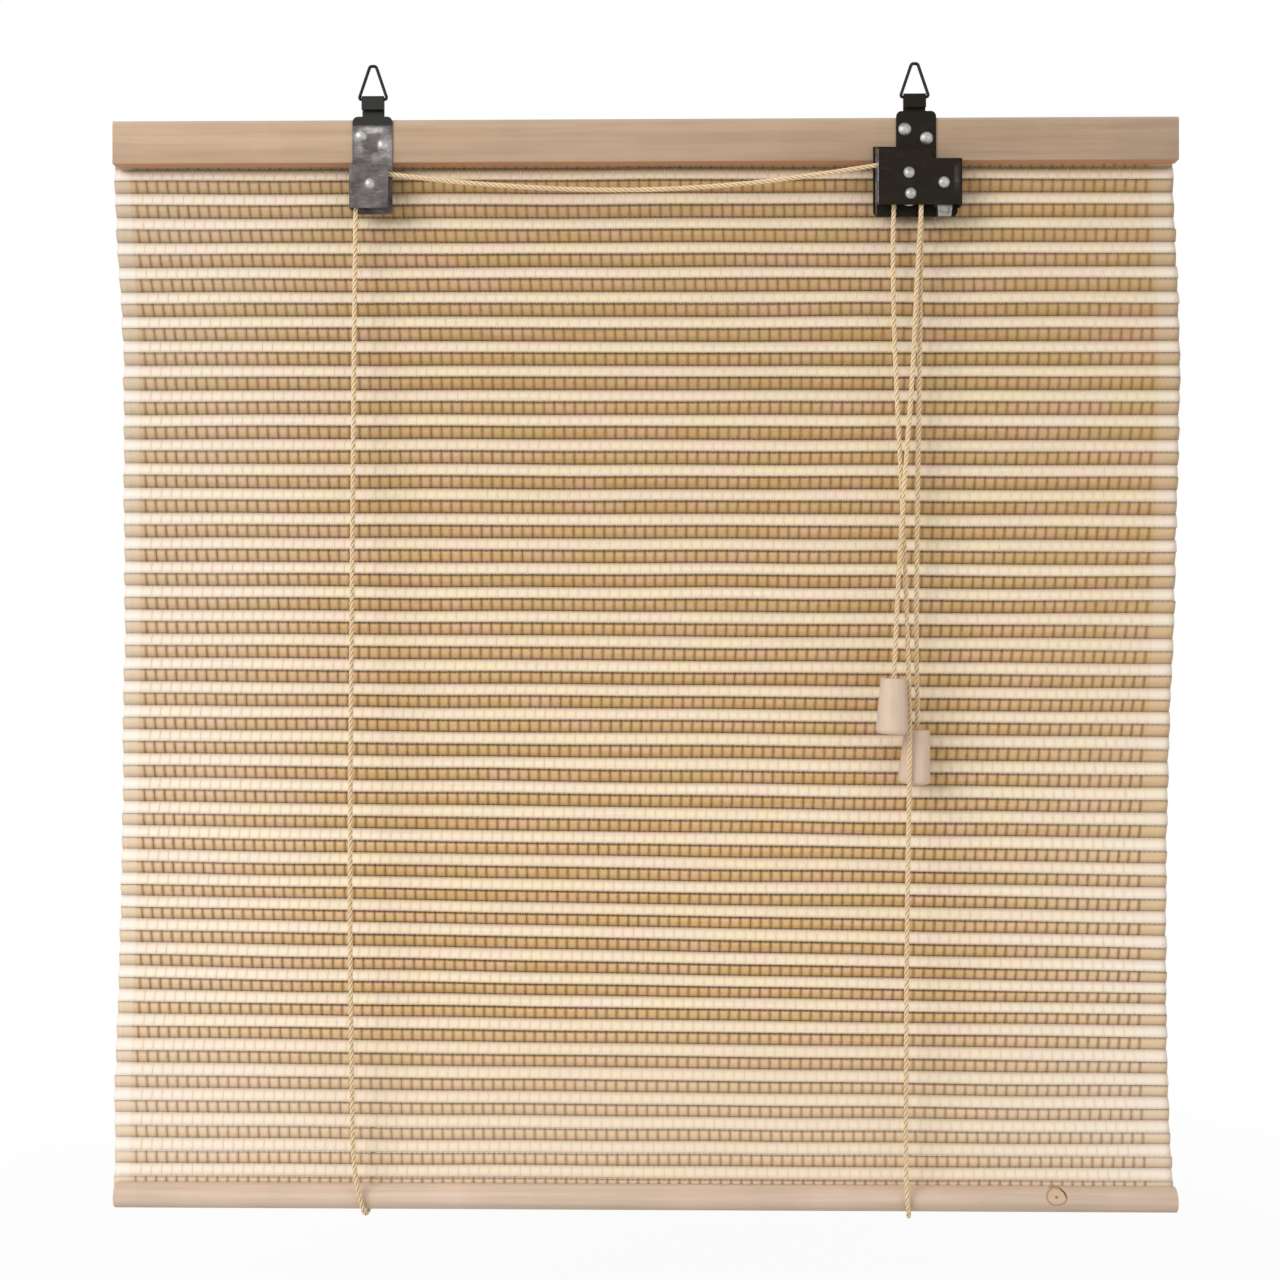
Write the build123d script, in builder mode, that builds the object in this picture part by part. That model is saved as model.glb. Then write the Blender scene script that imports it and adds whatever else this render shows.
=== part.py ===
from build123d import *
from math import asin, cos, pi, radians, sin, tan
import os

# A bamboo roll up blind, let down to its full length and hung by two wire rings.
# Frame: X to the right, Y to the back, Z up, origin at the middle of the header's top face.

# Header board and bottom rail
blind_width = 600.0
header_depth = 9.5
header_height = 24.5
header_round = 2.2
wood_ease = 0.5
rail_height = 14.0
rail_depth = 9.0
rail_lip = 2.4

# Woven mat: flat slats that lean to and fro, tied in one wall
slat_count = 87
slat_width = 7.3
slat_thickness = 1.2
slat_lean = 18.5
mat_overlap = 12.9
joint_gap = 0.5
joint_web = 0.4
slot_height = 0.3
plain_end = 14.0
bow_depth = 11.5
bow_low_share = 4.5

# Sheet steel of both brackets
sheet = 1.0
bend_radius = 1.0
box_inside = 7.0
edge_round = 3.0

# Wire rings and the hemmed eyes that hold them
ring_x = 152.0
ring_wire = 1.4
ring_base = 16.0
ring_height = 18.7
ring_crown = 3.4
ring_corner = 1.15
ring_crown_corner = 1.8
ring_gap = 0.4
eye_z = 10.5
eye_play = 0.25
neck_width = 12.4
hem_length = 6.1

# Left bracket, measured from its ring's middle
left_plate = (-11.8, 10.7)
left_plate_top = 1.2
left_plate_bottom = -53.7
left_fold = -12.5
left_front_end = 9.5
left_front_top = -27.7
left_front_bottom = -52.0
left_axle = (-0.9, -38.5)

# Right bracket with the cord lock, measured from its ring's middle
right_upper = (-10.1, 12.2)
right_upper_top = 3.0
right_lower = (-23.0, 25.2)
right_lower_top = -17.0
right_plate_bottom = -56.2
right_fold = 25.8
right_front_end = -21.4
right_front_top = -20.2
right_step_x = 8.0
right_step_top = -25.6
right_front_bottom = -51.3
upper_axle = (-3.9, -33.4)
lower_axle = (-3.0, -45.0)
cam_axle = (15.5, -38.9)

# Rivets, nails and staples
rivet_diameter = 3.0
rivet_head = 6.3
rivet_head_height = 1.6
rivet_tail_head = 5.4
rivet_tail_height = 0.9
running_play = 0.06
fixed_play = 0.03
nail_diameter = 2.0
nail_length = 8.0
nail_head = 7.2
nail_head_height = 1.7
left_nails = ((-7.1, -9.6), (5.4, -14.7))
right_nails = ((-5.3, -7.1), (6.9, -12.2))
staple_wire = 0.7
staple_bite = 4.0
mat_staple_span = 9.0
mat_staples = 6
mat_staple_reach = 262.0
cord_staple_span = 3.3
cord_staple_z = -3.4

# Pulley, lock rollers and toothed cam
pulley_width = 5.0
pulley_radius = 8.8
pulley_groove = 6.6
pulley_rim = 0.8
roller_length = 6.5
roller_radius = 5.4
roller_core = 4.8
roller_rim = 0.45
cam_thickness = 5.6
cam_boss = 4.4
cam_face_radius = 12.0
cam_face_centre = (18.3, -41.0)
cam_face_from = 172.0
cam_face_to = 222.0
cam_tail = ((12.2, -52.0), (12.6, -57.4), (19.6, -57.4), (20.6, -50.0))
tooth_count = 7
tooth_depth = 0.9

# Cords, pulls and knots
cord_diameter = 2.5
pull_top = 14.5
pull_bottom = 18.5
pull_height = 31.0
pull_round_top = 0.8
pull_round_bottom = 3.0
pull_bore_play = 0.3
pull_pocket = 9.0
knot_diameter = 6.8
knot_height = 6.4
knot_play = 0.05
pull_inset = 8.5

# Places that follow from the sizes
slat_pitch = slat_width * cos(radians(slat_lean))
lean_depth = slat_width * sin(radians(slat_lean))
wall_depth = slat_thickness / cos(radians(slat_lean))
header_front = -header_depth / 2
header_back = header_depth / 2
mat_top = -header_height + mat_overlap
mat_bottom = mat_top - slat_count * slat_pitch
rail_bottom = mat_bottom - rail_lip
rail_top = rail_bottom + rail_height
plate_front = header_front - sheet
box_front = plate_front - box_inside
box_face = box_front - sheet
box_middle = (plate_front + box_front) / 2
eye_inside = ring_wire / 2 + eye_play
eye_y = plate_front - eye_inside
left_x = -ring_x
right_x = ring_x

# Where each cord runs, from its staple behind the header to the knot in its pull
left_cord_route = (
    (-152.0, 6.15, -1.2),
    (-152.0, 6.15, -5.6),
    (-152.2, 11.0, -11.4),
    (-152.3, 11.2, -22.0),
    (-152.5, 11.6, -42.0),
    (-152.7, 12.5, -80.0),
    (-152.9, 14.3, -130.0),
    (-153.1, 17.4, -185.0),
    (-153.3, 20.9, -243.0),
    (-153.5, 24.0, -300.0),
    (-153.8, 25.7, -358.0),
    (-154.0, 25.9, -414.0),
    (-154.3, 23.8, -466.0),
    (-154.6, 19.6, -514.0),
    (-154.9, 14.8, -554.0),
    (-155.2, 11.9, -586.0),
    (-155.6, 10.9, -614.6),
    (-156.8, 1.7, -619.9),
    (-157.9, -7.5, -614.6),
    (-163.2, -7.8, -588.0),
    (-165.0, -8.2, -440.0),
    (-163.7, -8.7, -273.0),
    (-161.6, -9.2, -60.0),
    (-160.8, -9.25, -34.76),
    (-155.48, -9.25, -30.15),
    (-140.6, -9.3, -32.4),
    (-111.1, -9.45, -36.2),
    (-73.7, -9.65, -39.4),
    (-36.6, -9.85, -41.5),
    (0.3, -10.0, -41.9),
    (37.0, -10.2, -40.3),
    (75.0, -10.4, -36.9),
    (111.8, -10.6, -31.6),
    (136.0, -10.75, -27.9),
    (150.2, -10.75, -27.0),
    (154.25, -10.75, -30.5),
    (155.7, -10.75, -47.0),
    (152.4, -10.9, -98.0),
    (150.4, -11.1, -146.0),
    (146.7, -11.6, -192.0),
    (143.7, -12.1, -236.0),
    (141.5, -12.45, -276.0),
    (139.9, -12.55, -312.0),
    (138.9, -12.6, -337.5),
)
right_cord_route = (
    (150.2, 6.15, -1.2),
    (150.2, 6.15, -5.6),
    (150.3, 11.0, -11.4),
    (150.2, 11.2, -22.0),
    (150.0, 11.6, -42.0),
    (149.8, 12.5, -80.0),
    (149.7, 14.3, -130.0),
    (149.7, 17.4, -185.0),
    (149.8, 20.9, -243.0),
    (150.0, 24.0, -300.0),
    (150.3, 25.7, -358.0),
    (150.7, 25.9, -414.0),
    (151.1, 23.8, -466.0),
    (151.5, 19.6, -514.0),
    (151.8, 14.8, -554.0),
    (151.9, 11.9, -586.0),
    (151.4, 10.9, -614.6),
    (149.9, 1.7, -619.9),
    (148.4, -7.5, -614.6),
    (146.9, -7.5, -588.0),
    (147.2, -7.5, -510.0),
    (148.2, -7.45, -412.0),
    (149.7, -7.4, -350.0),
    (147.9, -7.45, -286.0),
    (145.0, -7.55, -215.0),
    (141.5, -7.65, -148.0),
    (139.6, -7.7, -92.0),
    (140.2, -7.75, -50.0),
    (142.3, -7.75, -29.3),
    (148.3, -7.75, -26.3),
    (154.2, -7.75, -29.8),
    (155.7, -7.75, -47.0),
    (155.3, -7.45, -100.0),
    (154.6, -6.5, -152.0),
    (154.1, -4.6, -206.0),
    (153.8, -2.0, -258.0),
    (154.2, 0.9, -305.0),
    (155.2, 2.6, -338.0),
    (153.5, 3.3, -366.5),
)


def bow(z):
    # How far the hanging mat stands back at height z, from nothing at the header to nothing at the rail.
    share = (-header_height - z) / (rail_top * -1 - header_height)
    if share <= 0 or share >= 1:
        return 0
    return bow_depth * sin(pi * share) - bow_low_share * sin(2 * pi * share)


def wall_front(joint):
    # Front surface of the mat at one joint between slats, as (y, z).
    z = mat_top - joint * slat_pitch
    inset = 0 if joint % 2 else lean_depth
    return header_back + bow(z) + inset, z


def between(start, end, share):
    return tuple(a + (b - a) * share for a, b in zip(start, end))


def staple_places():
    step = 2 * mat_staple_reach / (mat_staples - 1)
    return [-mat_staple_reach + step * n for n in range(mat_staples)]


def staple_bars(x, seat_y, tip_y, z, span, play=0):
    # The crown and two legs of one staple as boxes: (size, middle).
    thick = staple_wire + 2 * play
    leg = seat_y - tip_y
    bars = [((span + staple_wire + 2 * play, thick, thick), (x, seat_y + staple_wire / 2, z))]
    for side in (-1, 1):
        bars.append(((thick, leg, thick), (x + side * span / 2, seat_y - leg / 2, z)))
    return bars


def cut_staple_holes(places, seat_y, tip_y, z, span):
    legs = [bar for x in places for bar in staple_bars(x, seat_y, tip_y, z, span, fixed_play)[1:]]
    with Locations(*[middle for size, middle in legs]):
        Box(*legs[0][0], mode=Mode.SUBTRACT)


# Staples sit at these depths
header_staple_joint = 1
rail_staple_joint = slat_count - 1
header_staple_z = wall_front(header_staple_joint)[1]
rail_staple_z = wall_front(rail_staple_joint)[1]
valley_rise = staple_wire / 2 * tan(radians(slat_lean))
header_seat = wall_front(header_staple_joint)[0] + wall_depth + valley_rise + fixed_play
header_tip = header_back - staple_bite
rail_seat = wall_front(rail_staple_joint)[0] + wall_depth + fixed_play
rail_tip = header_back - staple_bite
cord_seat = header_back + cord_diameter + 0.2


# Header board
with BuildPart() as header_rail:
    with BuildSketch(Plane.YZ):
        with Locations((0, -header_height / 2)):
            Rectangle(header_depth, header_height)
    extrude(amount=blind_width / 2, both=True)
    long_edges = header_rail.edges().filter_by(Axis.X)
    fillet(long_edges.sort_by(Axis.Y)[:2].sort_by(Axis.Z)[-1], radius=header_round)
    fillet(header_rail.edges().filter_by(Axis.X).sort_by(Axis.Z)[:2], radius=wood_ease)
    nail_holes = [(left_x + x, z) for x, z in left_nails] + [(right_x + x, z) for x, z in right_nails]
    for x, z in nail_holes:
        with BuildSketch(Plane.XZ.offset(-header_front)):
            with Locations((x, z)):
                Circle(nail_diameter / 2 + fixed_play)
        extrude(amount=-(nail_length - sheet), mode=Mode.SUBTRACT)
    cut_staple_holes(staple_places(), header_seat, header_tip, header_staple_z, mat_staple_span)
    cord_places = [left_cord_route[0][0], right_cord_route[0][0]]
    cut_staple_holes(cord_places, cord_seat, header_tip, cord_staple_z, cord_staple_span)


# Woven mat: one wall that zigzags from slat to slat, notched at each joint, with one slot along each joint
def mat_outline():
    front = []
    back = []
    notch = joint_gap / 2 / slat_pitch
    depth = (wall_depth - joint_web) / 2
    for slat in range(slat_count):
        top = wall_front(slat)
        bottom = wall_front(slat + 1)
        if slat:
            front.append((top[0] + depth, top[1]))
            back.append((top[0] + wall_depth - depth, top[1]))
        for share in (notch, 1 - notch):
            y, z = between(top, bottom, share)
            front.append((y, z))
            back.append((y + wall_depth, z))
    return front + back[::-1]


with BuildPart() as slat_mat:
    with BuildSketch(Plane.YZ):
        with BuildLine():
            Polyline(*mat_outline(), close=True)
        make_face()
    extrude(amount=blind_width / 2, both=True)
    joints = [wall_front(joint) for joint in range(1, slat_count)]
    with Locations(*[(0, y + wall_depth / 2, z) for y, z in joints]):
        Box(blind_width - 2 * plain_end, wall_depth, slot_height, mode=Mode.SUBTRACT)
    cut_staple_holes(staple_places(), header_seat, header_tip, header_staple_z, mat_staple_span)
    cut_staple_holes(staple_places(), rail_seat, rail_tip, rail_staple_z, mat_staple_span)


# Half round bottom rail, its flat back on the mat
with BuildPart() as bottom_rail:
    with BuildSketch(Plane.YZ):
        with BuildLine():
            shoulder = header_back - (rail_depth - rail_height / 2)
            Line((header_back, rail_bottom), (header_back, rail_top))
            Line((header_back, rail_top), (shoulder, rail_top))
            nose = (shoulder - rail_height / 2, (rail_top + rail_bottom) / 2)
            ThreePointArc((shoulder, rail_top), nose, (shoulder, rail_bottom))
            Line((shoulder, rail_bottom), (header_back, rail_bottom))
        make_face()
    extrude(amount=blind_width / 2, both=True)
    fillet(bottom_rail.faces().sort_by(Axis.Y)[-1].edges().filter_by(Axis.X), radius=wood_ease)
    cut_staple_holes(staple_places(), rail_seat, rail_tip, rail_staple_z, mat_staple_span)


# Staples: mat to header, mat to rail, and one over each cord's end
def staples(places, seat_y, tip_y, z, span):
    with BuildPart() as group:
        for x in places:
            for size, middle in staple_bars(x, seat_y, tip_y, z, span):
                with Locations(middle):
                    Box(*size)
    return group


header_staples = staples(staple_places(), header_seat, header_tip, header_staple_z, mat_staple_span)
rail_staples = staples(staple_places(), rail_seat, rail_tip, rail_staple_z, mat_staple_span)
left_cord_staple = staples(cord_places[:1], cord_seat, header_tip, cord_staple_z, cord_staple_span)
right_cord_staple = staples(cord_places[1:], cord_seat, header_tip, cord_staple_z, cord_staple_span)


# Both brackets end in a neck whose tip is hemmed forward round the ring's base wire
def add_hem(x):
    with BuildSketch(Plane.YZ.offset(x)) as hem:
        with Locations((eye_y, eye_z)):
            Circle(eye_inside + sheet)
        with Locations((eye_y, eye_z - hem_length / 2)):
            Rectangle(2 * (eye_inside + sheet), hem_length)
        with Locations((eye_y, eye_z)):
            Circle(eye_inside, mode=Mode.SUBTRACT)
        with Locations((eye_y, eye_z - hem_length / 2)):
            Rectangle(2 * eye_inside, hem_length, mode=Mode.SUBTRACT)
    extrude(hem.sketch, amount=neck_width / 2, both=True)


def add_fold(fold_x, toward, end_x, top, bottom):
    # Side wall and front wall of the box, bent from the plate's edge; toward is +1 or -1, into the box.
    side_x = fold_x + toward * sheet / 2
    back_y = plate_front + sheet / 2
    front_y = box_front - sheet / 2
    start_x = side_x + toward * (bend_radius + sheet)
    with BuildSketch(Plane.XY.offset(bottom)) as strip:
        with BuildLine():
            FilletPolyline(
                (start_x, back_y), (side_x, back_y), (side_x, front_y), (end_x, front_y), radius=bend_radius
            )
        trace(line_width=sheet)
    extrude(strip.sketch, amount=top - bottom)


def drill(x, places, radius):
    # Round holes right through the bracket, front to back.
    with BuildSketch(Plane.XZ) as holes:
        with Locations(*[(x + dx, z) for dx, z in places]):
            Circle(radius)
    extrude(holes.sketch, amount=-2 * box_face, mode=Mode.SUBTRACT)


def plate_block(x_from, x_to, z_from, z_to):
    with Locations(((x_from + x_to) / 2, (z_from + z_to) / 2)):
        Rectangle(x_to - x_from, z_to - z_from)


with BuildPart() as left_bracket:
    with BuildSketch(Plane.XZ.offset(-header_front)):
        plate_block(left_x + left_plate[0], left_x + left_plate[1], left_front_top, left_plate_top)
        plate_block(
            left_x + left_fold + sheet + bend_radius / 2, left_x + left_plate[1], left_plate_bottom, left_front_top
        )
        fillet(vertices().group_by(Axis.Y)[-1], radius=edge_round)
        fillet(vertices().group_by(Axis.Y)[0].sort_by(Axis.X)[-1], radius=edge_round / 2)
        plate_block(left_x - neck_width / 2, left_x + neck_width / 2, left_plate_top - edge_round, eye_z)
    extrude(amount=sheet)
    add_hem(left_x)
    add_fold(left_x + left_fold, 1, left_x + left_front_end, left_front_top, left_front_bottom)
    drill(left_x, [left_axle], rivet_diameter / 2 + fixed_play)
    drill(left_x, left_nails, nail_diameter / 2 + fixed_play)

with BuildPart() as right_bracket:
    with BuildSketch(Plane.XZ.offset(-header_front)):
        plate_block(right_x + right_upper[0], right_x + right_upper[1], right_lower_top, right_upper_top)
        fillet(vertices().group_by(Axis.Y)[-1], radius=edge_round)
        plate_block(
            right_x + right_lower[0],
            right_x + right_fold - sheet - bend_radius / 2,
            right_plate_bottom,
            right_lower_top,
        )
        fillet(vertices().group_by(Axis.Y)[0], radius=edge_round)
        plate_block(right_x - neck_width / 2, right_x + neck_width / 2, right_upper_top - edge_round, eye_z)
    extrude(amount=sheet)
    add_hem(right_x)
    add_fold(right_x + right_fold, -1, right_x + right_front_end, right_front_top, right_front_bottom)
    with BuildSketch(Plane.XZ.offset(-plate_front)):
        step_height = right_front_top - right_step_top
        step_width = right_fold - right_step_x + sheet
        with Locations((right_x + right_step_x + step_width / 2, right_step_top + step_height / 2)):
            Rectangle(step_width, step_height)
        fillet(vertices().group_by(Axis.Y)[0].sort_by(Axis.X)[0], radius=edge_round / 2)
    extrude(amount=box_inside + 2 * sheet, mode=Mode.SUBTRACT)
    drill(right_x, [upper_axle, lower_axle, cam_axle], rivet_diameter / 2 + fixed_play)
    drill(right_x, right_nails, nail_diameter / 2 + fixed_play)


# A wire ring bent to a triangle, its ends butted at the top
def hanging_ring(x):
    half = ring_base / 2
    crown = ring_crown / 2
    end = ring_gap / 2
    with BuildPart() as ring:
        with BuildLine(Plane.XZ.offset(-eye_y)) as wire:
            FilletPolyline(
                (x + end, eye_z + ring_height),
                (x + crown, eye_z + ring_height),
                (x + half, eye_z),
                (x - half, eye_z),
                (x - crown, eye_z + ring_height),
                (x - end, eye_z + ring_height),
                radius=(ring_crown_corner, ring_corner, ring_corner, ring_crown_corner),
            )
        with BuildSketch(wire.line ^ 0):
            Circle(ring_wire / 2)
        sweep()
    return ring


left_hanging_ring = hanging_ring(left_x)
right_hanging_ring = hanging_ring(right_x)


# Nails and rivets are turned about Y, with a low head in front of their seat that is part of a ball
def headed_pin(x, seat_y, z, radius, length, head, head_height, tail=0, tail_height=0):
    seat = (x, seat_y, z)
    ball = (head**2 / 4 + head_height**2) / (2 * head_height)
    half_turn = asin(head / 2 / ball) / 2
    crest = (ball * sin(half_turn), ball - head_height - ball * cos(half_turn))
    tail_radius = max(radius, tail / 2)
    with BuildPart() as pin:
        with BuildSketch(Plane(origin=seat, x_dir=(1, 0, 0), z_dir=(0, 0, 1))):
            with BuildLine():
                ThreePointArc((head / 2, 0), crest, (0, -head_height))
                Line((0, -head_height), (0, length + tail_height))
                Line((0, length + tail_height), (tail_radius, length + tail_height))
                if tail_height:
                    Polyline((tail_radius, length + tail_height), (tail_radius, length), (radius, length))
                Polyline((radius, length), (radius, 0), (head / 2, 0))
            make_face()
        revolve(axis=Axis(seat, (0, 1, 0)))
    return pin


def nail(x, z):
    return headed_pin(x, plate_front, z, nail_diameter / 2, nail_length, nail_head, nail_head_height)


def rivet(x, z):
    grip = header_front - box_face
    return headed_pin(
        x, box_face, z, rivet_diameter / 2, grip, rivet_head, rivet_head_height, rivet_tail_head, rivet_tail_height
    )


left_pulley_rivet = rivet(left_x + left_axle[0], left_axle[1])
upper_roller_rivet = rivet(right_x + upper_axle[0], upper_axle[1])
lower_roller_rivet = rivet(right_x + lower_axle[0], lower_axle[1])
lock_cam_rivet = rivet(right_x + cam_axle[0], cam_axle[1])
left_nail_pins = [nail(left_x + x, z) for x, z in left_nails]
right_nail_pins = [nail(right_x + x, z) for x, z in right_nails]


# Pulley and rollers turn on their rivets
def wheel(x, z, width, radius, groove, rim):
    half = width / 2
    middle = (x, box_middle, z)
    bore = rivet_diameter / 2 + running_play
    with BuildPart() as turned:
        with BuildSketch(Plane(origin=middle, x_dir=(1, 0, 0), z_dir=(0, 0, 1))):
            with BuildLine():
                Polyline(
                    (bore, -half),
                    (radius, -half),
                    (radius, -half + rim / 2),
                    (groove, -half + rim),
                    (groove, half - rim),
                    (radius, half - rim / 2),
                    (radius, half),
                    (bore, half),
                    close=True,
                )
            make_face()
        revolve(axis=Axis(middle, (0, 1, 0)))
    return turned


def grooved_pulley(x, z):
    half = pulley_width / 2
    middle = (x, box_middle, z)
    bore = rivet_diameter / 2 + running_play
    with BuildPart() as turned:
        with BuildSketch(Plane(origin=middle, x_dir=(1, 0, 0), z_dir=(0, 0, 1))):
            with BuildLine():
                Line((bore, -half), (pulley_radius, -half))
                Line((pulley_radius, -half), (pulley_radius, -half + pulley_rim))
                ThreePointArc(
                    (pulley_radius, -half + pulley_rim), (pulley_groove, 0), (pulley_radius, half - pulley_rim)
                )
                Line((pulley_radius, half - pulley_rim), (pulley_radius, half))
                Line((pulley_radius, half), (bore, half))
                Line((bore, half), (bore, -half))
            make_face()
        revolve(axis=Axis(middle, (0, 1, 0)))
    return turned


left_pulley = grooved_pulley(left_x + left_axle[0], left_axle[1])
upper_roller = wheel(right_x + upper_axle[0], upper_axle[1], roller_length, roller_radius, roller_core, roller_rim)
lower_roller = wheel(right_x + lower_axle[0], lower_axle[1], roller_length, roller_radius, roller_core, roller_rim)


# Toothed cam that hangs from its rivet beside the cords
with BuildPart() as lock_cam:
    with BuildSketch(Plane.XZ.offset(-(box_middle - cam_thickness / 2))):
        face_x = right_x + cam_face_centre[0]
        face_z = cam_face_centre[1]
        first = radians(cam_face_from)
        last = radians(cam_face_to)
        middle = (first + last) / 2
        face_points = [
            (face_x + cam_face_radius * cos(turn), face_z + cam_face_radius * sin(turn))
            for turn in (first, middle, last)
        ]
        with BuildLine():
            ThreePointArc(*face_points)
            Polyline(
                face_points[-1],
                *[(right_x + x, z) for x, z in cam_tail],
                (right_x + cam_axle[0] + cam_boss, cam_axle[1]),
                (right_x + cam_axle[0], cam_axle[1] + cam_boss),
                face_points[0],
            )
        make_face()
        with Locations((right_x + cam_axle[0], cam_axle[1])):
            Circle(cam_boss)
        tooth_step = (cam_face_to - cam_face_from) / tooth_count
        for tooth in range(tooth_count):
            turn = radians(cam_face_from + tooth_step * (tooth + 0.5))
            root = (face_x + cam_face_radius * cos(turn), face_z + cam_face_radius * sin(turn))
            with Locations(Location((root[0], root[1], 0), (0, 0, 45 + cam_face_from + tooth_step * (tooth + 0.5)))):
                Rectangle(tooth_depth, tooth_depth, mode=Mode.SUBTRACT)
        with Locations((right_x + cam_axle[0], cam_axle[1])):
            Circle(rivet_diameter / 2 + running_play, mode=Mode.SUBTRACT)
    extrude(amount=-cam_thickness)


# Cords: straight runs joined by arcs as large as the runs allow
def corner_radii(route):
    radii = []
    for before, corner, after in zip(route, route[1:], route[2:]):
        one = Vector(*corner) - Vector(*before)
        two = Vector(*after) - Vector(*corner)
        half_turn = radians(one.get_angle(two)) / 2
        radii.append(0.45 * min(one.length, two.length) / tan(half_turn))
    return radii


def cord(route):
    with BuildPart() as tube:
        with BuildLine() as path:
            FilletPolyline(*route, radius=tuple(corner_radii(route)))
        with BuildSketch(path.line ^ 0):
            Circle(cord_diameter / 2)
        sweep()
    return tube, path.wires()[0].length


left_cord, left_cord_length = cord(left_cord_route)
right_cord, right_cord_length = cord(right_cord_route)


# Turned pulls, each on the last run of its cord, over a knot in a pocket
def end_plane(route):
    # Origin at the cord's end, z back up along the last run.
    tip = Vector(*route[-1])
    return Plane(origin=tip, x_dir=(0, 1, 0), z_dir=Vector(*route[-2]) - tip)


def turned_pull(route):
    knot_top = end_plane(route)
    base = knot_top.offset(-pull_inset)
    with BuildPart() as pull:
        with BuildSketch(base):
            Circle(pull_bottom / 2)
        with BuildSketch(base.offset(pull_height)):
            Circle(pull_top / 2)
        loft()
        ends = pull.edges().filter_by(GeomType.CIRCLE).sort_by(Axis((0, 0, 0), base.z_dir))
        fillet(ends[-1], radius=pull_round_top)
        fillet(ends[0], radius=pull_round_bottom)
        with BuildSketch(base):
            Circle(cord_diameter / 2 + pull_bore_play)
        extrude(amount=pull_height, mode=Mode.SUBTRACT)
        with BuildSketch(base):
            Circle(pull_pocket / 2)
        extrude(amount=pull_inset + knot_play, mode=Mode.SUBTRACT)
    return pull


def cord_knot(route):
    top = end_plane(route)
    with BuildPart() as knot:
        with BuildSketch(top.offset(-knot_height)):
            Circle(knot_diameter / 2)
        extrude(amount=knot_height)
        fillet(knot.edges().filter_by(GeomType.CIRCLE), radius=knot_height * 0.34)
    return knot


left_pull = turned_pull(left_cord_route)
right_pull = turned_pull(right_cord_route)
left_pull_knot = cord_knot(left_cord_route)
right_pull_knot = cord_knot(right_cord_route)


# Names and files
pieces = {
    "header_rail": header_rail,
    "slat_mat": slat_mat,
    "bottom_rail": bottom_rail,
    "header_staples": header_staples,
    "rail_staples": rail_staples,
    "left_cord_staple": left_cord_staple,
    "right_cord_staple": right_cord_staple,
    "left_bracket": left_bracket,
    "left_hanging_ring": left_hanging_ring,
    "left_pulley": left_pulley,
    "left_pulley_rivet": left_pulley_rivet,
    "left_nail_upper": left_nail_pins[0],
    "left_nail_lower": left_nail_pins[1],
    "right_bracket": right_bracket,
    "right_hanging_ring": right_hanging_ring,
    "upper_roller": upper_roller,
    "upper_roller_rivet": upper_roller_rivet,
    "lower_roller": lower_roller,
    "lower_roller_rivet": lower_roller_rivet,
    "lock_cam": lock_cam,
    "lock_cam_rivet": lock_cam_rivet,
    "right_nail_upper": right_nail_pins[0],
    "right_nail_lower": right_nail_pins[1],
    "left_cord": left_cord,
    "right_cord": right_cord,
    "left_pull": left_pull,
    "left_pull_knot": left_pull_knot,
    "right_pull": right_pull,
    "right_pull_knot": right_pull_knot,
}
os.makedirs("parts", exist_ok=True)
for name, piece in pieces.items():
    piece.part.label = name
    export_step(piece.part, f"parts/{name}.step")
    print(name, len(piece.part.solids()), round(piece.part.volume, 1))

for name, route, tube, length in (
    ("left cord", left_cord_route, left_cord, left_cord_length),
    ("right cord", right_cord_route, right_cord, right_cord_length),
):
    section = pi * cord_diameter**2 / 4
    print(name, "length", round(length, 1), "volume ratio", round(tube.part.volume / (section * length), 4))
    print(" radii", [round(radius, 1) for radius in corner_radii(route)])
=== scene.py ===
import bpy
import bmesh
import math
import random
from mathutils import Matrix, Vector, kdtree, noise


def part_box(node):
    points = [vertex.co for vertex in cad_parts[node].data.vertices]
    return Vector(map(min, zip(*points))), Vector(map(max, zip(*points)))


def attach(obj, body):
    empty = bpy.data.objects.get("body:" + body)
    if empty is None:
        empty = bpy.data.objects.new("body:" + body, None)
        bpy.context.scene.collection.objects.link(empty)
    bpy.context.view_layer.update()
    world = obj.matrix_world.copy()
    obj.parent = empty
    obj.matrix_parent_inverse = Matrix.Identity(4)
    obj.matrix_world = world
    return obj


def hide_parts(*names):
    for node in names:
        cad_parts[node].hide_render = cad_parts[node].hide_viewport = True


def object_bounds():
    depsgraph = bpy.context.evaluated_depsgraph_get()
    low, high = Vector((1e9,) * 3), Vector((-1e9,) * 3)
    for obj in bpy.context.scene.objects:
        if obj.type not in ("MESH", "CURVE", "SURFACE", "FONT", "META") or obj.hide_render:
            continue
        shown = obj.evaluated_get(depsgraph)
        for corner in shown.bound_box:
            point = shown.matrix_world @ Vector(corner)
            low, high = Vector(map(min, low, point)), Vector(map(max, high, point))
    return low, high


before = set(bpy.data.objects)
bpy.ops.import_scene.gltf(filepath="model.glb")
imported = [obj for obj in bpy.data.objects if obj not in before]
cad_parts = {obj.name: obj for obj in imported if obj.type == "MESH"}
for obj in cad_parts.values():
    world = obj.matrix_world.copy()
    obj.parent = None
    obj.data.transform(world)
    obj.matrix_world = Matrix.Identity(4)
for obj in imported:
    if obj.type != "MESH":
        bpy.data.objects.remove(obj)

mm = 0.001
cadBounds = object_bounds()
print("frame loaded")


# Camera: level with the middle of the blind, a little to the right of it
cameraValues = {
    "distance": 1.0,        # from the header's front face
    "aimX": -0.0018,
    "aimZ": -0.2936,
    "turn": 0.9,            # degrees to the right
    "lens": 50.0,
    "sensor": 36.0,
    "clipStart": 0.01,
}


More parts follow.
